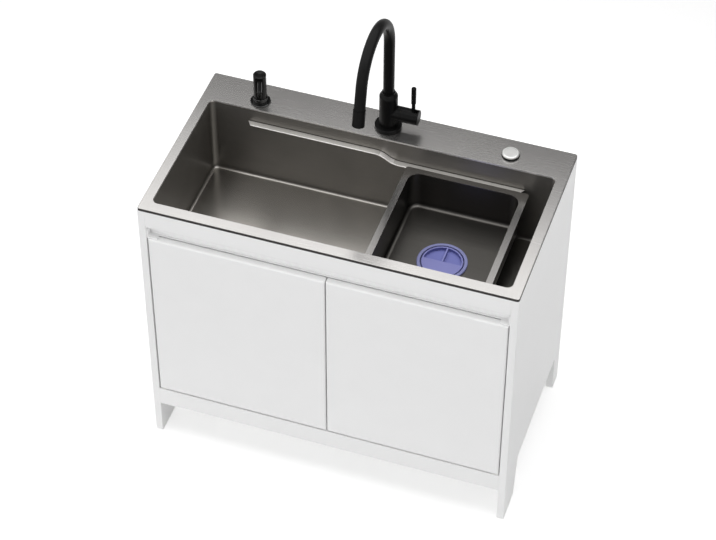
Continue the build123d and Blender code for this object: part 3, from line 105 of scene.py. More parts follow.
def add_node(tree: bpy.types.NodeTree, kind: str, settings: Optional[dict] = None,
             links: Optional[dict] = None) -> bpy.types.Node:
    """Add a shader node, set it up and link it.

    Args:
        tree: The node tree that takes the node.
        kind: The node's type name.
        settings: Attribute names, or input names or numbers, with their values.
        links: Input names or numbers, with the output socket that feeds each.

    Returns:
        The new node.
    """
    node = tree.nodes.new(kind)
    for key, value in (settings or {}).items():
        if isinstance(key, str) and hasattr(node, key):
            setattr(node, key, value)
        else:
            node.inputs[key].default_value = value
    for key, socket in (links or {}).items():
        tree.links.new(socket, node.inputs[key])
    return node


class Grain(Enum):
    """The axis that a brushed or drawn grain runs along."""

    ALONG_X = (1.0, 0.0, 0.0)
    ALONG_Z = (0.0, 0.0, 1.0)

    def scales(self, along: float, across: float) -> tuple[float, float, float]:
        """Pattern scales per metre on X, Y and Z for a grain of the given lengths.

        Args:
            along: Length of a streak in metres.
            across: Distance between streaks in metres.

        Returns:
            The three scales.
        """
        return tuple(1 / along if part else 1 / across for part in self.value)


# ---- finishes ----
# The span that a noise texture fills, and a narrower one for slow drifts.
NOISE_SPAN = {"From Min": 0.3, "From Max": 0.7}
DRIFT_SPAN = {"From Min": 0.35, "From Max": 0.65}
# How many finer layers a noise texture has, and how far the slow drift's edges wind.
NOISE_DETAIL, COATING_DETAIL, DRIFT_WARP = 2.0, 3.0, 0.6
# A normal's Z on a slope and on a level face.
SLOPE, LEVEL = 0.6, 0.98
# How high a finish's bump stands at full strength.
BUMP_MM = 0.1
# Slow patterns, in millimetres: tone and gloss of sheet, tone of a coating and of a turned face.
SHEET_DRIFT_MM, SHEET_CLOUD_MM, COATING_CLOUD_MM, TURNED_CLOUD_MM = 166.7, 111.1, 71.4, 6.25
# The coarser grain is this many times as long and as wide.
BROAD_STREAK, BROAD_LINE = 5, 7
# A grain leans a little, so that it has a direction on a face square to its axis too.
LEAN_X, LEAN_Y = 0.02, 0.01
# A wave texture of scale 1 has its rings this many metres apart.
RING_STEP = 0.314


def blank(name: str, plain: dict) -> tuple[bpy.types.Material, bpy.types.NodeTree, bpy.types.Node]:
    """Make a new material with its node tree.

    Args:
        name: The material's name.
        plain: The shader's inputs that are the same all over, by name.

    Returns:
        The material, its tree and its shader node.
    """
    made = bpy.data.materials.new(name)
    made.use_nodes = True
    shader = made.node_tree.nodes["Principled BSDF"]
    for key, value in plain.items():
        shader.inputs[key].default_value = value
    return made, made.node_tree, shader


@dataclass(frozen=True)
class BrushedSteel:
    """Sheet or wire brushed or drawn one way.

    The lines stretch each reflection across the grain. Real ones are about 0.1 mm apart; they are drawn
    coarser, so that they show. A level face and a rim can have a tint and a gloss of their own; these tints
    paint light and shade: level faces lighter or darker than upright ones, and a brighter rim as a painted
    highlight.
    """

    name: str
    tint: str
    roughness: float
    grain: Grain
    line_mm: float = 1.4
    streak_mm: float = 90.0
    contrast: float = 0.10
    depth: float = 0.04
    stretch: float = 0.6
    level_painted_light_tint: Optional[str] = None
    flat_roughness: Optional[float] = None
    rim_painted_highlight_tint: Optional[str] = None
    rim_height: float = 0.0
    rim_roughness: float = 0.20
    polish: float = 0.03
    cloud: float = 0.05
    turn: float = 0.25
    broad_share: float = 0.4
    cloud_share: float = 0.35

    def build(self) -> bpy.types.Material:
        """Make the material.

        Returns:
            The metal with its grain.
        """
        made, tree, shader = blank(self.name, {
            "Metallic": 1.0, "Anisotropic": self.stretch, "Anisotropic Rotation": self.turn})
        brushed = add_node(tree, "ShaderNodeCombineXYZ", {
            0: self.grain.value[0] + LEAN_X, 1: self.grain.value[1] + LEAN_Y, 2: self.grain.value[2]})
        tree.links.new(brushed.outputs[0], shader.inputs["Tangent"])
        place = add_node(tree, "ShaderNodeTexCoord")
        lines = []
        for longer, wider in ((1, 1), (BROAD_STREAK, BROAD_LINE)):
            scales = self.grain.scales(self.streak_mm * longer * MM, self.line_mm * wider * MM)
            drawn = add_node(tree, "ShaderNodeMapping", {"Scale": scales},
                             {"Vector": place.outputs["Object"]})
            lines.append(add_node(tree, "ShaderNodeTexNoise", {"Scale": 1.0, "Detail": NOISE_DETAIL},
                                  {"Vector": drawn.outputs["Vector"]}).outputs["Fac"])
        fine, broad = lines
        both = add_node(tree, "ShaderNodeMix", {"data_type": "FLOAT", 0: self.broad_share},
                        {2: fine, 3: broad})
        surface = add_node(tree, "ShaderNodeNewGeometry")
        facing = add_node(tree, "ShaderNodeSeparateXYZ", {}, {0: surface.outputs["Normal"]})
        level = add_node(tree, "ShaderNodeMapRange", {"From Min": SLOPE, "From Max": LEVEL},
                         {"Value": facing.outputs["Z"]})
        # Level faces take a tint of their own apart from upright ones: painted light and shade by which way a
        # face looks.
        tone = add_node(tree, "ShaderNodeMix", {
            "data_type": "RGBA", "A": linear(self.tint), "B": linear(self.level_painted_light_tint or self.tint)},
            {0: level.outputs["Result"]}).outputs[2]
        smooth = add_node(tree, "ShaderNodeMapRange", {
            "To Min": self.roughness, "To Max": self.flat_roughness or self.roughness},
            {"Value": level.outputs["Result"]}).outputs["Result"]
        # Above the rim height the tint is brighter: a painted highlight on the flange.
        if self.rim_painted_highlight_tint:
            spot = add_node(tree, "ShaderNodeSeparateXYZ", {}, {0: place.outputs["Object"]})
            above = add_node(tree, "ShaderNodeMath", {"operation": "GREATER_THAN", 1: self.rim_height},
                             {0: spot.outputs["Z"]}).outputs[0]
            tone = add_node(tree, "ShaderNodeMix", {"data_type": "RGBA", "B": linear(self.rim_painted_highlight_tint)},
                            {0: above, "A": tone}).outputs[2]
            smooth = add_node(tree, "ShaderNodeMix", {"data_type": "FLOAT", 3: self.rim_roughness},
                              {0: above, 2: smooth}).outputs[0]
        swing = add_node(tree, "ShaderNodeMapRange", {
            **NOISE_SPAN, "To Min": 1 - self.contrast, "To Max": 1 + self.contrast},
            {"Value": both.outputs[0]})
        drift = add_node(tree, "ShaderNodeTexNoise", {
            "Scale": 1 / (SHEET_DRIFT_MM * MM), "Detail": NOISE_DETAIL, "Distortion": DRIFT_WARP},
            {"Vector": place.outputs["Object"]})
        wander = add_node(tree, "ShaderNodeMapRange", {
            **DRIFT_SPAN, "To Min": 1 - self.cloud, "To Max": 1 + self.cloud}, {"Value": drift.outputs[0]})
        amount = add_node(tree, "ShaderNodeMath", {"operation": "MULTIPLY"},
                          {0: swing.outputs["Result"], 1: wander.outputs["Result"]})
        colour = add_node(tree, "ShaderNodeVectorMath", {"operation": "SCALE"},
                          {0: tone, "Scale": amount.outputs[0]})
        tree.links.new(colour.outputs[0], shader.inputs["Base Color"])
        cloud = add_node(tree, "ShaderNodeTexNoise", {
            "Scale": 1 / (SHEET_CLOUD_MM * MM), "Detail": NOISE_DETAIL}, {"Vector": place.outputs["Object"]})
        gloss = add_node(tree, "ShaderNodeMix", {"data_type": "FLOAT", 0: self.cloud_share},
                         {2: fine, 3: cloud.outputs["Fac"]})
        rough = add_node(tree, "ShaderNodeMapRange", {
            **NOISE_SPAN, "To Min": -self.polish, "To Max": self.polish}, {"Value": gloss.outputs[0]})
        total = add_node(tree, "ShaderNodeMath", {"operation": "ADD"},
                         {0: rough.outputs["Result"], 1: smooth})
        tree.links.new(total.outputs[0], shader.inputs["Roughness"])
        bump = add_node(tree, "ShaderNodeBump", {"Strength": self.depth, "Distance": BUMP_MM * MM},
                        {"Height": fine})
        tree.links.new(bump.outputs["Normal"], shader.inputs["Normal"])
        return made


@dataclass(frozen=True)
class Coating:
    """A sprayed or moulded skin: lacquer, powder coat, paint, plastic or rubber.

    A fine bump breaks up its highlights, and a slow variation keeps it from looking flat.
    """

    name: str
    colour: str
    roughness: float
    grain_mm: float
    depth: float = 0.08
    contrast: float = 0.03
    specular: float = 0.5
    ior: float = 1.5
    swing: float = 0.04
    cloud_share: float = 0.6

    def build(self) -> bpy.types.Material:
        """Make the material.

        Returns:
            The skin with its fine bump.
        """
        made, tree, shader = blank(self.name, {"IOR": self.ior, "Specular IOR Level": self.specular})
        place = add_node(tree, "ShaderNodeTexCoord")
        fine = add_node(tree, "ShaderNodeTexNoise", {
            "Scale": 1 / (self.grain_mm * MM), "Detail": COATING_DETAIL}, {"Vector": place.outputs["Object"]})
        cloud = add_node(tree, "ShaderNodeTexNoise", {
            "Scale": 1 / (COATING_CLOUD_MM * MM), "Detail": NOISE_DETAIL},
            {"Vector": place.outputs["Object"]})
        both = add_node(tree, "ShaderNodeMix", {"data_type": "FLOAT", 0: self.cloud_share},
                        {2: fine.outputs["Fac"], 3: cloud.outputs["Fac"]})
        span = add_node(tree, "ShaderNodeMapRange", NOISE_SPAN, {"Value": both.outputs[0]})
        tone = add_node(tree, "ShaderNodeMix", {
            "data_type": "RGBA", "A": scaled(self.colour, 1 - self.contrast),
            "B": scaled(self.colour, 1 + self.contrast)}, {0: span.outputs["Result"]})
        tree.links.new(tone.outputs[2], shader.inputs["Base Color"])
        rough = add_node(tree, "ShaderNodeMapRange", {
            **NOISE_SPAN, "To Min": self.roughness - self.swing, "To Max": self.roughness + self.swing},
            {"Value": both.outputs[0]})
        tree.links.new(rough.outputs["Result"], shader.inputs["Roughness"])
        bump = add_node(tree, "ShaderNodeBump", {"Strength": self.depth, "Distance": BUMP_MM * MM},
                        {"Height": fine.outputs["Fac"]})
        tree.links.new(bump.outputs["Normal"], shader.inputs["Normal"])
        return made


@dataclass(frozen=True)
class TurnedSteel:
    """Stainless steel faced on a lathe: rings around one upright axis.

    Real ones are 0.2 mm apart; they are drawn coarser, so that they show.
    """

    name: str
    tint: str
    roughness: float
    centre: tuple[float, float]
    ring_mm: float = 4.4
    distortion: float = 2.4
    cloud_share: float = 0.45
    darkest: float = 0.55
    brightest: float = 1.1
    swing: float = 0.06
    depth: float = 0.6

    def build(self) -> bpy.types.Material:
        """Make the material.

        Returns:
            The steel with its rings.
        """
        made, tree, shader = blank(self.name, {"Metallic": 1.0})
        place = add_node(tree, "ShaderNodeTexCoord")
        centred = add_node(tree, "ShaderNodeMapping", {"Location": (-self.centre[0], -self.centre[1], 0.0)},
                           {"Vector": place.outputs["Object"]})
        rings = add_node(tree, "ShaderNodeTexWave", {
            "wave_type": "RINGS", "rings_direction": "Z", "Scale": RING_STEP / (self.ring_mm * MM),
            "Distortion": self.distortion, "Detail": NOISE_DETAIL}, {"Vector": centred.outputs["Vector"]})
        cloud = add_node(tree, "ShaderNodeTexNoise", {
            "Scale": 1 / (TURNED_CLOUD_MM * MM), "Detail": NOISE_DETAIL}, {"Vector": place.outputs["Object"]})
        both = add_node(tree, "ShaderNodeMix", {"data_type": "FLOAT", 0: self.cloud_share},
                        {2: rings.outputs["Fac"], 3: cloud.outputs["Fac"]})
        tone = add_node(tree, "ShaderNodeMix", {
            "data_type": "RGBA", "A": scaled(self.tint, self.darkest),
            "B": scaled(self.tint, self.brightest)}, {0: both.outputs[0]})
        tree.links.new(tone.outputs[2], shader.inputs["Base Color"])
        rough = add_node(tree, "ShaderNodeMapRange", {
            "To Min": self.roughness - self.swing, "To Max": self.roughness + self.swing},
            {"Value": both.outputs[0]})
        tree.links.new(rough.outputs["Result"], shader.inputs["Roughness"])
        bump = add_node(tree, "ShaderNodeBump", {"Strength": self.depth, "Distance": BUMP_MM * MM},
                        {"Height": rings.outputs["Fac"]})
        tree.links.new(bump.outputs["Normal"], shader.inputs["Normal"])
        return made


Finish = Union[BrushedSteel, TurnedSteel, Coating]

# Cold-rolled sheet with a long grain: soft streaks along the unit, bright where the lamp meets it.
DECK_STEEL = BrushedSteel("stainless_brushed_deck", "#B4B2B0", 0.27, Grain.ALONG_X, line_mm=1.0,
                          streak_mm=150.0, contrast=0.02, depth=0.008, polish=0.007, cloud=0.03)
# The same sheet, pressed and brushed again: walls that blur what they mirror and a glossier floor. The walls
# are tinted darker than the floor: painted shade on the walls and painted light on the floor.
BOWL_STEEL = BrushedSteel("stainless_brushed_bowl", "#84817D", 0.39, Grain.ALONG_X, stretch=0.65,
                          contrast=0.025, depth=0.008, polish=0.012, cloud=0.07, level_painted_light_tint="#A8A5A0",
                          flat_roughness=0.26)
# Folded strip with a satin top. Its upright nose is tinted bright and its level top darker: painted highlight
# and painted shade; its slopes wear the painted edge highlight.
LEDGE_STEEL = BrushedSteel("stainless_satin_ledge", "#F0EEEA", 0.38, Grain.ALONG_X, contrast=0.04,
                           depth=0.02, level_painted_light_tint="#C2C0BC", flat_roughness=0.50)
# A painted highlight: a thin pale line on the deck opening's edges and on the ledge's slopes and rounds.
EDGE_PAINTED_HIGHLIGHT = BrushedSteel("stainless_edge_painted_highlight", "#F0EEEC", 0.40, Grain.ALONG_X, contrast=0.03,
                             depth=0.01)
# A narrow weld bead along the crease where the ledge meets the wall, tinted dark as painted shade of the
# crease.
CREASE_PAINTED_SHADE_WELD = BrushedSteel("stainless_weld_painted_crease_shade", "#3C3A37", 0.45, Grain.ALONG_X, streak_mm=5, line_mm=0.8)
# The deck's outside edge faces, tinted dark and dull: painted shade standing in for the dark they mirror.
EDGE_PAINTED_SHADE = BrushedSteel("stainless_edge_painted_shade", "#403E3C", 0.50, Grain.ALONG_X, streak_mm=6,
                             line_mm=0.8)
# The rinse basin: pressed steel with a gunmetal tone. Its inside is tinted dark as painted shade, its floor a
# little lighter as painted light, and its flange above the rim height brighter as a painted highlight, and
# glossier.
BASIN_STEEL = BrushedSteel("stainless_brushed_basin", "#4E4C4A", 0.36, Grain.ALONG_X, stretch=0.5,
                           contrast=0.05, depth=0.015, polish=0.02, cloud=0.08, level_painted_light_tint="#5A5855",
                           flat_roughness=0.30, rim_painted_highlight_tint="#8E8C8A", rim_roughness=0.20, rim_height=0.6450)
# Drawn and polished with the die's faint marks.
WASTE_STEEL = BrushedSteel("stainless_pressed_waste", "#B0ADAA", 0.25, Grain.ALONG_X, streak_mm=8,
                           line_mm=0.8)
# Bright zinc on small steel parts: cool grey with a slight bloom.
ZINC_STEEL = BrushedSteel("steel_zinc_plated", "#B8BABC", 0.35, Grain.ALONG_Z, streak_mm=12, line_mm=0.8)
# Bar turned on a lathe and left bare: warm, with fine marks round the axis.
BRASS = BrushedSteel("brass_turned", "#B89A55", 0.30, Grain.ALONG_Z, streak_mm=3, line_mm=1.0)
# Turned and faced, so the cap glints in rings.
BUTTON_STEEL = TurnedSteel("stainless_turned_button", "#F2F2F0", 0.44, (0.2765, 0.1765))
# Sprayed satin lacquer on board: a soft wide sheen with a hardly visible orange peel.
WHITE_LACQUER = Coating("board_white_satin_lacquer", "#F5F5F5", 0.36, 3.0, depth=0.05, contrast=0.01)
# Paper foil pressed on chipboard: flat and a little warmer than the lacquer.
WHITE_MELAMINE = Coating("board_white_melamine", "#ECECEA", 0.50, 1.2, depth=0.10, contrast=0.015)
# Thin powder coat on aluminium: a fine pebble under a soft sheen.
WHITE_POWDER = Coating("aluminium_white_powder_coat", "#FBFBFB", 0.45, 0.8, depth=0.10, contrast=0.015)
# Matt powder coat on brass: nearly no mirror, a broad dull highlight and a fine pebble.
BLACK_POWDER = Coating("brass_black_powder_coat", "#0A0A0A", 0.38, 0.8, depth=0.08, contrast=0.10,
                       specular=0.10)
# ABS from a polished mould: sharp small highlights on near black.
BLACK_GLOSS = Coating("abs_black_gloss_moulded", "#070707", 0.26, 6.0, depth=0.02, contrast=0.06,
                      specular=0.18)
# The same ABS buffed on the collar: a bright ring of light round its rim.
BLACK_BUFFED = Coating("abs_black_buffed_collar", "#0A0A0A", 0.16, 6.0, depth=0.01, contrast=0.05,
                       specular=0.55)
# The same ABS from a blasted mould.
BLACK_SATIN = Coating("abs_black_satin_moulded", "#0F0F0F", 0.34, 1.0, depth=0.06, contrast=0.08,
                      specular=0.25)
# Moulded rubber: dull, slightly dusty black.
BLACK_RUBBER = Coating("rubber_black_moulded", "#1E1E1D", 0.70, 1.0, depth=0.20, contrast=0.12)
# Damping mat: dull, with a coarse pressed grain.
GREY_RUBBER = Coating("butyl_grey_damping_mat", "#3A3A3A", 0.75, 2.5, depth=0.40, contrast=0.15)
# Dyed silicone: soft, waxy colour with a wide dull sheen.
VIOLET_SILICONE = Coating("silicone_violet_moulded", "#7577AE", 0.48, 1.2, depth=0.06, contrast=0.05)
# The drain ring moulded of it: a little greyer and duller than the plug.
RING_VIOLET = Coating("silicone_violet_ring", "#7578A4", 0.50, 1.2, depth=0.06, contrast=0.05)
# The same silicone in the finger pockets, tinted darker as painted shade of the recesses, and rougher.
POCKET_PAINTED_SHADE_VIOLET = Coating("silicone_violet_pocket_painted_shade", "#6569A6", 0.62, 1.2, depth=0.06, contrast=0.08)
# Injection-moulded plastics: even tone, low sheen.
WHITE_NYLON = Coating("nylon_white_moulded", "#E8E8E4", 0.45, 1.5, depth=0.08, contrast=0.02)
WHITE_PP = Coating("polypropylene_white_moulded", "#E2E2E0", 0.38, 2.0, depth=0.06, contrast=0.02)
GREY_ABS = Coating("abs_grey_moulded", "#8C8C8A", 0.42, 1.5, depth=0.06, contrast=0.03)
# Cast polyurethane: a small clear dome with a wet gloss.
CLEAR_PAD = Coating("polyurethane_clear_bumper", "#D8DCDE", 0.22, 2.0, depth=0.03, contrast=0.02)


def material_of(finish: Finish) -> bpy.types.Material:
    """The finish's material, made once.

    Args:
        finish: The finish that is wanted.

    Returns:
        The material with the finish's name.
    """
    return bpy.data.materials.get(finish.name) or finish.build()


# ---- modelling moves ----
# Corners of loose triangles that lie this near are one, as are the two ends of a spun ring, and faces
# this near to flat are one.
MERGE_MM, CLOSE_MM = 0.002, 0.01
FLAT_DEGREES = 0.6
# How much of its normal lies along an axis on a face that looks that way, and on one that leans.
FACING, LEANING = 0.9, 0.5
# Steps in the round of a small edge.
EDGE_STEPS = 2
# A ring's rounds shade smooth under this angle.
RING_SMOOTH = 20.0


def take(obj: bpy.types.Object) -> None:
    """Make one object the only one selected, and the active one.

    Args:
        obj: The object to work on.
    """
    for other in list(bpy.context.selected_objects):
        other.select_set(False)
    obj.select_set(True)
    bpy.context.view_layer.objects.active = obj


def pick(obj: bpy.types.Object, test: Callable[[Vector, Vector], bool]) -> int:
    """Enter edit mode and select the faces whose middle and normal pass a test.

    Args:
        obj: The object to work on.
        test: Takes a face's middle and normal and says whether it is wanted.

    Returns:
        How many faces are selected.
    """
    take(obj)
    bpy.ops.object.mode_set(mode="EDIT")
    bpy.ops.mesh.select_mode(type="FACE")
    bpy.ops.mesh.select_all(action="DESELECT")
    shape = bmesh.from_edit_mesh(obj.data)
    count = 0
    for face in shape.faces:
        wanted = test(face.calc_center_median(), face.normal)
        face.select_set(wanted)
        count += wanted
    bmesh.update_edit_mesh(obj.data)
    return count


def leave() -> None:
    """Go back to object mode."""
    bpy.ops.object.mode_set(mode="OBJECT")


def modify(obj: bpy.types.Object, kind: str, **settings: object) -> None:
    """Add a modifier and apply it.

    Args:
        obj: The object that takes it.
        kind: The modifier's type.
        settings: Its settings by name.
    """
    take(obj)
    step = obj.modifiers.new(kind.lower(), kind)
    for key, value in settings.items():
        setattr(step, key, value)
    bpy.ops.object.modifier_apply(modifier=step.name)


def settle(obj: bpy.types.Object, name: str, finish: Finish, node: str,
           smooth: float = 30.0) -> bpy.types.Object:
    """Finish a piece: put its place in its mesh, smooth it, dress it and let it ride.

    Args:
        obj: The modelled object.
        name: The piece's name.
        finish: What it is made of.
        node: The CAD node that carries it, whose body and slot it takes.
        smooth: The angle in degrees under which edges shade smooth.

    Returns:
        The same object.
    """
    take(obj)
    bpy.ops.object.transform_apply(location=True, rotation=True, scale=True)
    bpy.ops.object.shade_smooth_by_angle(angle=math.radians(smooth))
    obj.name = name
    obj.data.name = name
    obj.data.materials.clear()
    obj.data.materials.append(material_of(finish))
    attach(obj, BODIES[node])
    return obj


def copied(obj: bpy.types.Object, moves: Iterable[Matrix]) -> bpy.types.Object:
    """Copy a modelled piece to each place and join the copies into one piece.

    Args:
        obj: The piece, modelled once; it is used up.
        moves: A matrix for each copy.

    Returns:
        The joined object.
    """
    take(obj)
    bpy.ops.object.transform_apply(location=True, rotation=True, scale=True)
    made = []
    for move in moves:
        twin = obj.copy()
        twin.data = obj.data.copy()
        twin.data.transform(move)
        bpy.context.scene.collection.objects.link(twin)
        made.append(twin)
    bpy.data.objects.remove(obj)
    take(made[0])
    for twin in made[1:]:
        twin.select_set(True)
    if made[1:]:
        bpy.ops.object.join()
    return made[0]


def around(count: int, centre: tuple[float, float]) -> list[Matrix]:
    """Evenly spaced turns around an upright axis.

    Args:
        count: How many.
        centre: The axis' X and Y.

    Returns:
        One matrix for each turn.
    """
    there, back = (Matrix.Translation((way * centre[0], way * centre[1], 0)) for way in (1, -1))
    return [there @ Matrix.Rotation(math.tau * i / count, 4, "Z") @ back for i in range(count)]


def merged(node: str) -> bpy.types.Object:
    """Copy a CAD node's mesh and merge its loose triangles.

    Args:
        node: The CAD node.

    Returns:
        The copy, in plain sight and tied to nothing.
    """
    twin = NODES[node].copy()
    twin.data = NODES[node].data.copy()
    for key in list(twin.keys()):
        del twin[key]
    twin.parent = None
    bpy.context.scene.collection.objects.link(twin)
    twin.hide_render = twin.hide_viewport = False
    twin.hide_set(False)
    take(twin)
    bpy.ops.object.mode_set(mode="EDIT")
    bpy.ops.mesh.select_all(action="SELECT")
    bpy.ops.mesh.remove_doubles(threshold=MERGE_MM * MM)
    bpy.ops.mesh.dissolve_limited(angle_limit=math.radians(FLAT_DEGREES))
    leave()
    return twin


# The deck's border that counts as its outside, and the normals' Z under which a face there or at the
# opening is an edge.
DECK_BORDER_MM = 6.0
OUTSIDE_STEEP, OPENING_STEEP = 0.5, 0.8
# Normals' Z on a slope or a round.
ROUND_LOW, ROUND_HIGH = 0.2, 0.97
# How far the plug's pockets stay off its side, foot and top.
PLUG_WALL_MM, PLUG_FOOT_MM, PLUG_TOP_MM = 2.5, 0.5, 1.0


def deck_face(middle: Vector, normal: Vector, low: Vector, high: Vector) -> int:
    """Tell the deck's faces apart: 0 the brushed top, 1 the outside edge in painted shade, 2 the opening's
    edge with a painted highlight.

    Args:
        middle: The face's middle.
        normal: Its normal.
        low: The deck's low corner.
        high: The deck's high corner.

    Returns:
        The finish's place in the list.
    """
    edge = min(middle.x - low.x, high.x - middle.x, middle.y - low.y, high.y - middle.y)
    inner = edge > DECK_BORDER_MM * MM
    steep = OPENING_STEEP if inner else OUTSIDE_STEEP
    return (1 + inner) if abs(normal.z) < steep else 0


def painted_highlight_face(middle: Vector, normal: Vector, low: Vector, high: Vector) -> int:
    """Find the sloping and rounded faces that take the painted highlight.

    Args:
        middle: The face's middle; not used.
        normal: Its normal.
        low: The piece's low corner; not used.
        high: The piece's high corner; not used.

    Returns:
        1 on a slope or a round, else 0.
    """
    return int(ROUND_LOW < normal.z < ROUND_HIGH)


def painted_shade_pocket_face(middle: Vector, normal: Vector, low: Vector, high: Vector) -> int:
    """Find the faces inside the plug's finger pockets, which take the painted shade.

    Args:
        middle: The face's middle.
        normal: Its normal; not used.
        low: The plug's low corner.
        high: The plug's high corner.

    Returns:
        1 inside a pocket, else 0.
    """
    away = math.hypot(middle.x - (low.x + high.x) / 2, middle.y - (low.y + high.y) / 2)
    inside = away < (high.x - low.x) / 2 - PLUG_WALL_MM * MM
    return int(inside and low.z + PLUG_FOOT_MM * MM < middle.z < high.z - PLUG_TOP_MM * MM)


# ---- carried-over shapes ----
@dataclass(frozen=True)
class Softened:
    """CAD nodes whose sharp edges get the small round that tools and spray leave on them."""

    finish: Finish
    edge_mm: float
    nodes: tuple[str, ...]
    sharp: float = 50.0
    segments: int = EDGE_STEPS
    more: tuple[Finish, ...] = ()
    choose: Optional[Callable[[Vector, Vector, Vector, Vector], int]] = None

    def wear(self) -> None:
        """Replace each node by a merged copy with its edges rounded."""
        for node in self.nodes:
            twin = merged(node)
            twin.data.materials.clear()
            modify(twin, "BEVEL", width=self.edge_mm * MM, segments=self.segments, limit_method="ANGLE",
                   angle_limit=math.radians(self.sharp), use_clamp_overlap=True, harden_normals=False)
            settle(twin, node + "_soft", self.finish, node)
            modify(twin, "WEIGHTED_NORMAL", keep_sharp=True)
            for finish in self.more:
                twin.data.materials.append(material_of(finish))
            if self.choose:
                low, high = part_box(node)
                for face in twin.data.polygons:
                    face.material_index = self.choose(face.center, face.normal, low, high)
            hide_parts(node)


@dataclass(frozen=True)
class Dressing:
    """One finish and the CAD nodes that wear it as they are."""

    finish: Finish
    nodes: tuple[str, ...]

    def wear(self) -> None:
        """Put the finish on each node."""
        material = material_of(self.finish)
        for node in self.nodes:
            mesh = NODES[node].data
            mesh.materials.clear()
            mesh.materials.append(material)


LOOKS = (
    # The deck's outside edge wears painted shade, its opening's edge a painted highlight.
    Softened(DECK_STEEL, 0.7, ("deck",), more=(EDGE_PAINTED_SHADE, EDGE_PAINTED_HIGHLIGHT), choose=deck_face),
    Dressing(BOWL_STEEL, ("bowl",)),
    # The ledge's slopes and rounds wear the painted edge highlight.
    Softened(LEDGE_STEEL, 0.9, ("ledge_rail_rear", "ledge_rail_front"), segments=3, more=(EDGE_PAINTED_HIGHLIGHT,),
             choose=painted_highlight_face),
    Dressing(BASIN_STEEL, ("rinse_basin",)),
    Dressing(WASTE_STEEL, ("waste_flange", "waste_basket", "stopper")),
    Dressing(BUTTON_STEEL, ("drain_button",)),
    Dressing(ZINC_STEEL, ("lever_pin", "cam_locks")),
    Dressing(WHITE_POWDER, ("door_pins_left", "door_pins_right")),
    Softened(ZINC_STEEL, 0.4, ("strike_plate_left", "strike_plate_right")),
    Dressing(BRASS, ("faucet_shank", "faucet_nut", "cartridge")),
    Softened(WHITE_LACQUER, 0.8, ("side_panel_left", "side_panel_right", "kick_board", "front_rail")),
    Dressing(WHITE_LACQUER, ("door_left", "door_right")),
    Softened(WHITE_MELAMINE, 0.6, ("bottom_shelf", "rear_rail", "back_board")),
    Softened(WHITE_POWDER, 0.5, ("finger_channel", "pivot_plates")),
    Dressing(BLACK_POWDER, ("faucet_body", "faucet_spout", "lever_hub", "lever_rod", "spout_sleeve")),
    Dressing(BLACK_SATIN, ("button_body",)),
    Softened(BLACK_BUFFED, 0.5, ("pump_collar",)),
    Dressing(BLACK_GLOSS, ("pump_head",)),
    Dressing(BLACK_RUBBER, ("deck_seal", "waste_gasket", "stopper_seal", "fitting_washers",
                            "faucet_washer", "faucet_gasket")),
    Softened(GREY_RUBBER, 0.8, ("sound_pads",)),
    # The plug's finger pockets wear a darker violet: painted shade.
    Softened(VIOLET_SILICONE, 0.4, ("basin_plug",), more=(POCKET_PAINTED_SHADE_VIOLET,), choose=painted_shade_pocket_face),
    Dressing(RING_VIOLET, ("basin_ring",)),
    Dressing(WHITE_NYLON, ("pivot_bushes", "fitting_nuts")),
    Softened(WHITE_NYLON, 0.6, ("foot_glides", "magnetic_catches")),
    Dressing(WHITE_PP, ("waste_body", "trap_body", "trap_cup", "trap_nuts", "tailpiece", "outlet_pipe",
                        "soap_bottle", "pump_stem", "pump_cylinder")),
    Dressing(GREY_ABS, ("aerator",)),
)


# ---- sub-assemblies ----
@dataclass
class Screws:
    """Cross-head screws that face the rear, in shares of the head's radius and rise."""

    name: str
    node: str
    places: tuple[tuple[float, float, float], ...]
    head_mm: float
    rise_mm: float
    crown_mm: float = 0.15
    rim_share: float = 0.35
    crown_share: float = 0.2
    slot_share: float = 0.22
    slot_reach: float = 0.95
    slot_depth: float = 1.4
    sides: int = 24

    def build(self) -> None:
        """Model one head and put a copy at each place."""
        radius, rise = self.head_mm / 2 * MM, self.rise_mm * MM
        bpy.ops.mesh.primitive_cylinder_add(vertices=self.sides, radius=radius, depth=rise,
                                            location=(0, 0, rise / 2))
        head = bpy.context.object
        pick(head, lambda middle, normal: normal.z > FACING)
        bpy.ops.mesh.inset(thickness=radius * self.rim_share)
        bpy.ops.mesh.extrude_region_move(TRANSFORM_OT_translate={"value": (0, 0, self.crown_mm * MM)})
        bpy.ops.mesh.inset(thickness=radius * self.crown_share)
        leave()
        reach, width = radius * self.slot_reach, radius * self.slot_share
        for wide, deep in ((reach, width), (width, reach)):
            bpy.ops.mesh.primitive_cube_add(size=1, location=(0, 0, rise),
                                            scale=(wide, deep, rise * self.slot_depth))
            bar = bpy.context.object
            modify(head, "BOOLEAN", operation="DIFFERENCE", object=bar, solver="EXACT")
            bpy.data.objects.remove(bar)
        aim = Vector((0, 1, 0)).to_track_quat("Z", "Y").to_matrix().to_4x4()
        obj = copied(head, [Matrix.Translation(place) @ aim for place in self.places])
        settle(obj, self.name, ZINC_STEEL, self.node)


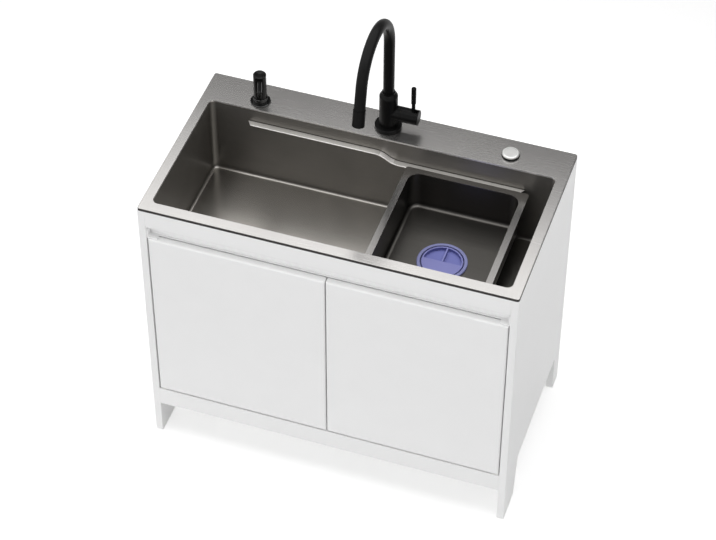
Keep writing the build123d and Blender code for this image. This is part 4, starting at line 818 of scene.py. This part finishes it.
@dataclass
class Rings:
    """Equal rings round an upright barrel, one above the other: a thread, or grip rings.

    Sizes are in metres; the shares are the heights of a ring's corners as parts of the pitch.
    """

    name: str
    finish: Finish
    node: str
    root: float
    crest: float
    base: float
    pitch: float
    count: int
    shares: tuple[float, float, float] = (0.35, 0.45, 0.8)
    steps: int = 48

    def turned(self, centre: tuple[float, float]) -> bpy.types.Object:
        """Stand up a strip, narrow it towards the crest and spin its outline round the barrel.

        Args:
            centre: The barrel's X and Y.

        Returns:
            One ring.
        """
        start, stop, rise = (self.pitch * share for share in self.shares)
        middle = centre[0] + (self.root + self.crest) / 2
        bpy.ops.mesh.primitive_plane_add(size=1, location=(middle, centre[1], self.base + rise / 2),
                                         rotation=(math.pi / 2, 0, 0))
        strip = bpy.context.object
        strip.scale = (self.crest - self.root, rise, 1)
        take(strip)
        bpy.ops.object.transform_apply(location=True, rotation=True, scale=True)
        bpy.ops.object.mode_set(mode="EDIT")
        bpy.ops.mesh.select_mode(type="VERT")
        bpy.ops.mesh.select_all(action="SELECT")
        bpy.ops.mesh.delete(type="ONLY_FACE")
        shape = bmesh.from_edit_mesh(strip.data)
        for corner in shape.verts:
            corner.select_set(corner.co.x > middle)
        shape.select_flush_mode()
        bmesh.update_edit_mesh(strip.data)
        bpy.ops.transform.resize(value=(1, 1, (stop - start) / rise))
        bpy.ops.transform.translate(value=(0, 0, (start + stop - rise) / 2))
        bpy.ops.mesh.select_all(action="SELECT")
        bpy.ops.mesh.spin(steps=self.steps, angle=math.tau, center=(*centre, 0), axis=(0, 0, 1))
        bpy.ops.mesh.select_all(action="SELECT")
        bpy.ops.mesh.remove_doubles(threshold=CLOSE_MM * MM)
        bpy.ops.mesh.normals_make_consistent(inside=False)
        leave()
        return strip

    def build(self) -> None:
        """Turn one ring and copy it up the barrel."""
        low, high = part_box(self.node)
        ring = self.turned(((low.x + high.x) / 2, (low.y + high.y) / 2))
        obj = copied(ring, [Matrix.Translation((0, 0, i * self.pitch)) for i in range(self.count)])
        settle(obj, self.name, self.finish, self.node, RING_SMOOTH)


@dataclass
class Bowl:
    """The weld seams where the ledge rails meet the bowl's long walls, tinted dark as painted crease shade.
    """

    seam_rise: float = 1.6
    seam_depth: float = 0.5

    def seam(self, node: str, inward: int) -> None:
        """Run a seam along the wall on top of one rail, down its S-shaped step.

        Args:
            node: The rail's CAD node.
            inward: The way from the wall to the bowl's middle along Y, 1 or -1.
        """
        low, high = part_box(node)
        wall = low.y if inward > 0 else high.y
        seam = merged(node)
        bpy.ops.object.mode_set(mode="EDIT")
        bpy.ops.mesh.select_all(action="SELECT")
        bpy.ops.mesh.bisect(plane_co=(0, wall + inward * self.seam_depth * MM, 0), plane_no=(0, inward, 0),
                            clear_outer=True, use_fill=True)
        leave()
        pick(seam, lambda middle, normal: normal.z > LEANING)
        bpy.ops.mesh.select_all(action="INVERT")
        bpy.ops.mesh.delete(type="FACE")
        bpy.ops.mesh.select_all(action="SELECT")
        bpy.ops.mesh.extrude_region_move(TRANSFORM_OT_translate={"value": (0, 0, self.seam_rise * MM)})
        bpy.ops.mesh.select_all(action="SELECT")
        bpy.ops.mesh.normals_make_consistent(inside=False)
        leave()
        # The bead's dark tint is painted shade of the crease.
        settle(seam, node + "_weld", CREASE_PAINTED_SHADE_WELD, node)

    def build(self) -> None:
        """Run both seams."""
        self.seam("ledge_rail_rear", -1)
        self.seam("ledge_rail_front", 1)


@dataclass
class Faucet:
    """The thread of the mixer's shank and the aerator's wire screen."""

    screen_radius: float = 8.0
    screen_cells: int = 9
    screen_bar: float = 0.35
    thread_pitch: float = 1.5
    thread_rise: float = 0.5
    thread_bite: float = 0.1
    thread_start: float = 1.0
    thread_stop: float = 0.5
    face_depth: float = 0.05

    def threads(self) -> None:
        """Lay the mounting shank's thread as rings up its length."""
        low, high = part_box("faucet_shank")
        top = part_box("faucet_nut")[0].z - self.thread_stop * MM
        radius = (high.x - low.x) / 2
        bottom = low.z + self.thread_start * MM
        pitch = self.thread_pitch * MM
        Rings("shank_thread", BRASS, "faucet_shank", radius - self.thread_bite * MM,
              radius + self.thread_rise * MM, bottom, pitch, int((top - bottom) / pitch),
              shares=(0.4, 0.5, 0.9), steps=40).build()

    def screen(self) -> None:
        """Lay the aerator's wire screen across its face."""
        mesh = merged("aerator")
        away = Vector((0, 0, 0))
        for face in mesh.data.polygons:
            if face.normal.z < -LEANING:
                away += face.normal * face.area
        away.normalize()
        reach = max(v.co.dot(away) for v in mesh.data.vertices)
        edge = [v.co for v in mesh.data.vertices if reach - v.co.dot(away) < self.face_depth * MM]
        middle = sum(edge, Vector()) / len(edge)
        bpy.data.objects.remove(mesh)
        bar = self.screen_bar * MM
        bpy.ops.mesh.primitive_grid_add(x_subdivisions=self.screen_cells, y_subdivisions=self.screen_cells,
                                        size=self.screen_radius * math.sqrt(2) * MM)
        grid = bpy.context.object
        modify(grid, "WIREFRAME", thickness=bar, use_boundary=True, use_replace=True)
        aim = away.to_track_quat("Z", "Y").to_matrix().to_4x4()
        grid = copied(grid, [Matrix.Translation(middle + away * bar / 2) @ aim])
        settle(grid, "aerator_screen", ZINC_STEEL, "aerator")

    def build(self) -> None:
        """Build every small part."""
        self.threads()
        self.screen()


@dataclass
class Trap:
    """Grip ribs on the drain's union nuts and the bottle cup."""

    rib_width: float = 2.0
    rib_rise: float = 1.2
    ribs: int = 24
    nut_height: float = 18.0
    nut_gap: float = 1.0
    cup_grip: float = 22.0
    rib_margin: float = 2.0
    rib_edge: float = 0.3
    rib_taper: tuple[float, float] = (0.5, 0.8)

    def ribbed(self, name: str, node: str, centre: tuple[float, float], radius: float, low: float,
               high: float) -> None:
        """Put upright grip ribs around a cylinder.

        Args:
            name: The piece's name.
            node: The CAD node that carries the ribs.
            centre: The axis' X and Y.
            radius: The cylinder's radius.
            low: Where the ribs start, in Z.
            high: Where they end.
        """
        wide, rise = self.rib_width * MM, self.rib_rise * MM
        bpy.ops.mesh.primitive_cube_add(size=1, location=(centre[0] + radius, centre[1], (low + high) / 2),
                                        scale=(rise * 2, wide, high - low))
        rib = bpy.context.object
        pick(rib, lambda middle, normal: normal.x > FACING)
        bpy.ops.transform.resize(value=(1, *self.rib_taper))
        leave()
        take(rib)
        bpy.ops.object.transform_apply(location=True, rotation=True, scale=True)
        modify(rib, "BEVEL", width=self.rib_edge * MM, segments=EDGE_STEPS)
        obj = copied(rib, around(self.ribs, centre))
        settle(obj, name, WHITE_PP, node)

    def build(self) -> None:
        """Rib the cup's grip and the two upright nuts."""
        low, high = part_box("trap_nuts")
        radius = (high.x - low.x) / 2
        middle = ((low.x + high.x) / 2, low.y + radius)
        margin, height = self.rib_margin * MM, self.nut_height * MM
        self.ribbed("waste_nut_ribs", "trap_nuts", middle, radius, high.z - height + margin, high.z - margin)
        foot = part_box("trap_body")[1].z + self.nut_gap * MM
        self.ribbed("trap_nut_ribs", "trap_nuts", middle, radius, foot + margin, foot + height - margin)
        low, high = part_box("trap_cup")
        radius = (high.x - low.x) / 2
        self.ribbed("trap_cup_ribs", "trap_cup", middle, radius - self.rib_rise * MM / 2,
                    high.z - self.cup_grip * MM, high.z - margin)


@dataclass
class Fittings:
    """Rings and threads on the soap dispenser and the waste button."""

    ring_rise: float = 0.5
    ring_pitch: float = 4.0
    rings: int = 3
    ring_start: float = 10.0
    thread_pitch: float = 2.0
    thread_rise: float = 0.25
    thread_start: float = 2.0
    barrel_radius: float = 13.5

    def build(self) -> None:
        """Ring the bottle's foot and thread the button's barrel."""
        low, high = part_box("soap_bottle")
        rise = self.ring_rise * MM
        wall = (high.x - low.x) / 2 - rise
        Rings("soap_bottle_rings", WHITE_PP, "soap_bottle", wall - rise, wall + rise,
              low.z + self.ring_start * MM, self.ring_pitch * MM, self.rings).build()
        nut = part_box("fitting_nuts")[0].z
        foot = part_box("button_body")[0].z + self.thread_start * MM
        pitch, rise, wall = self.thread_pitch * MM, self.thread_rise * MM, self.barrel_radius * MM
        Rings("button_barrel_thread", BLACK_SATIN, "button_body", wall - rise, wall + rise, foot, pitch,
              int((nut - foot) / pitch)).build()


@dataclass
class Cabinet:
    """Screws and door bumpers of the flat-packed carcass."""

    bumper_mm: float = 8.0
    bumper_rise: float = 1.2
    bumper_inset: float = 14.0
    bumper_taper: float = 0.8
    bumper_rim: float = 0.8
    bumper_crown: float = 0.15
    bumper_edge: float = 0.25
    bumper_sides: int = 32
    strike_head: float = 4.4
    strike_rise: float = 0.4
    strike_reach: float = 10.0
    back_head: float = 6.0
    back_rise: float = 0.5
    back_inset: float = 9.0
    back_height: float = 57.0
    back_screws: int = 7

    def bumpers(self) -> None:
        """Stick a soft clear bumper at the free top corner of each door's back."""
        for side, node in ((-1, "door_left"), (1, "door_right")):
            low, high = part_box(node)
            free = high.x if side < 0 else low.x
            inset = self.bumper_inset * MM
            bpy.ops.mesh.primitive_cylinder_add(vertices=self.bumper_sides, radius=self.bumper_mm / 2 * MM,
                                                depth=self.bumper_rise * MM, location=(0, 0, 0))
            pad = bpy.context.object
            pick(pad, lambda middle, normal: normal.z > FACING)
            bpy.ops.transform.resize(value=(self.bumper_taper, self.bumper_taper, 1))
            bpy.ops.mesh.inset(thickness=self.bumper_rim * MM)
            bpy.ops.transform.translate(value=(0, 0, self.bumper_crown * MM))
            leave()
            modify(pad, "BEVEL", width=self.bumper_edge * MM, segments=EDGE_STEPS, limit_method="ANGLE")
            pad.rotation_euler = (-math.pi / 2, 0, 0)
            pad.location = (free + side * inset, high.y + self.bumper_rise / 2 * MM, high.z - inset)
            settle(pad, node + "_bumper", CLEAR_PAD, node)

    def screws(self) -> None:
        """Screw the strike plates and the back board in place."""
        for node in ("strike_plate_left", "strike_plate_right"):
            low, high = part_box(node)
            mid = (low + high) / 2
            places = tuple((mid.x + way * self.strike_reach * MM, high.y, mid.z) for way in (-1, 1))
            Screws(node + "_screws", node, places, self.strike_head, self.strike_rise).build()
        low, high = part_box("back_board")
        start, stop = low.x + self.back_inset * MM, high.x - self.back_inset * MM
        step = (stop - start) / (self.back_screws - 1)
        places = tuple((start + i * step, high.y, low.z + self.back_height * MM)
                       for i in range(self.back_screws))
        Screws("back_board_screws", "back_board", places, self.back_head, self.back_rise).build()

    def build(self) -> None:
        """Build every small part."""
        self.bumpers()
        self.screws()


# ---- studio ----
@dataclass
class Studio:
    """The floor, the light and the camera, in metres."""

    floor_size: float = 40.0
    camera_place: tuple[float, float, float] = (1.1306, -3.3811, 4.0668)
    camera_yaw: float = 18.5415
    camera_pitch: float = 45.538
    camera_roll: float = 0.164
    lens_mm: float = 118.06
    sensor_mm: float = 36.0
    lamp_watts: float = 24.0
    lamp_size: tuple[float, float] = (2.4, 1.5)
    lamp_place: tuple[float, float, float] = (-0.12, 0.10, 1.6)
    front_light: float = 1.55
    rear_light: float = 0.36
    right_light: float = 0.57
    high_light: float = 0.18
    floor_glow: float = 0.5
    light_colour: str = "#FFFFFF"
    paper_colour: str = "#F4F4F4"
    paper_roughness: float = 0.9
    front_to_rear: tuple[float, float] = (-0.5, 0.6)
    low_to_high: tuple[float, float] = (0.34, 0.62)
    middle_to_right: tuple[float, float] = (0.2, 1.0)

    def floor(self) -> None:
        """Lay the pale floor: white paper that glows a little to the eye and keeps the shadow."""
        bpy.ops.mesh.primitive_plane_add(size=self.floor_size, location=(0, 0, 0))
        plane = bpy.context.object
        plane.name = "floor"
        made, tree, shader = blank("floor_white_paper", {
            "Roughness": self.paper_roughness, "Base Color": linear(self.paper_colour),
            "Specular IOR Level": 0.0, "Emission Color": linear(self.light_colour)})
        path = add_node(tree, "ShaderNodeLightPath")
        mirror = add_node(tree, "ShaderNodeMath", {"operation": "MAXIMUM"},
                          {0: path.outputs["Is Glossy Ray"], 1: path.outputs["Is Transmission Ray"]})
        seen = add_node(tree, "ShaderNodeMath", {"operation": "MAXIMUM"},
                        {0: path.outputs["Is Camera Ray"], 1: mirror.outputs[0]})
        glow = add_node(tree, "ShaderNodeMath", {"operation": "MULTIPLY", 1: self.floor_glow},
                        {0: seen.outputs[0]})
        tree.links.new(glow.outputs[0], shader.inputs["Emission Strength"])
        plane.data.materials.append(made)

    def world(self) -> None:
        """Light the room softly, brighter in front than behind."""
        world = bpy.data.worlds.new("studio")
        bpy.context.scene.world = world
        world.use_nodes = True
        tree = world.node_tree
        back = tree.nodes["Background"]
        place = add_node(tree, "ShaderNodeTexCoord")
        split = add_node(tree, "ShaderNodeSeparateXYZ", {}, {0: place.outputs["Generated"]})
        fades = [add_node(tree, "ShaderNodeMapRange", {
            "interpolation_type": "SMOOTHSTEP", "From Min": span[0], "From Max": span[1],
            "To Min": near, "To Max": far}, {"Value": split.outputs[axis]}) for axis, span, near, far in (
            ("Y", self.front_to_rear, self.front_light, self.rear_light),
            ("Z", self.low_to_high, 1.0, self.high_light),
            ("X", self.middle_to_right, 1.0, self.right_light))]
        level = add_node(tree, "ShaderNodeMath", {"operation": "MULTIPLY"},
                         {0: fades[0].outputs["Result"], 1: fades[1].outputs["Result"]})
        light = add_node(tree, "ShaderNodeMath", {"operation": "MULTIPLY"},
                         {0: level.outputs[0], 1: fades[2].outputs["Result"]})
        back.inputs["Color"].default_value = linear(self.light_colour)
        tree.links.new(light.outputs[0], back.inputs["Strength"])

    def lamp(self) -> None:
        """Hang the soft box over the deck."""
        data = bpy.data.lights.new("soft_box", "AREA")
        data.shape = "RECTANGLE"
        data.size, data.size_y = self.lamp_size
        data.energy = self.lamp_watts
        lamp = bpy.data.objects.new("soft_box", data)
        lamp.location = self.lamp_place
        bpy.context.scene.collection.objects.link(lamp)

    def camera(self) -> None:
        """Set the camera at the photograph's viewing angle."""
        data = bpy.data.cameras.new("camera")
        data.lens = self.lens_mm
        data.sensor_width = self.sensor_mm
        camera = bpy.data.objects.new("camera", data)
        camera.location = self.camera_place
        camera.rotation_mode = "XYZ"
        look = Euler((math.radians(90 - self.camera_pitch), 0, math.radians(self.camera_yaw)), "XYZ")
        roll = Euler((0, 0, math.radians(self.camera_roll)), "XYZ")
        camera.rotation_euler = (look.to_matrix() @ roll.to_matrix()).to_euler("XYZ")
        bpy.context.scene.collection.objects.link(camera)
        bpy.context.scene.camera = camera

    def build(self) -> None:
        """Build the whole studio."""
        bpy.context.scene.view_settings.view_transform = "Standard"
        self.floor()
        self.world()
        self.lamp()
        self.camera()


def main() -> None:
    """Build every piece in order and report it."""
    logging.basicConfig(level=logging.INFO, format="%(name)s: %(message)s")
    for picked in list(bpy.context.selected_objects):
        picked.select_set(False)
    Studio().build()
    for look in LOOKS:
        look.wear()
        LOG.info("dressed %s in %s", ", ".join(look.nodes), look.finish.name)
    for part in (Cabinet(), Bowl(), Faucet(), Fittings(), Trap()):
        known = set(bpy.data.objects.keys())
        part.build()
        for piece in sorted(set(bpy.data.objects.keys()) - known):
            LOG.info("built %s on the %s", piece, type(part).__name__.lower())


if __name__ == "__main__":
    main()
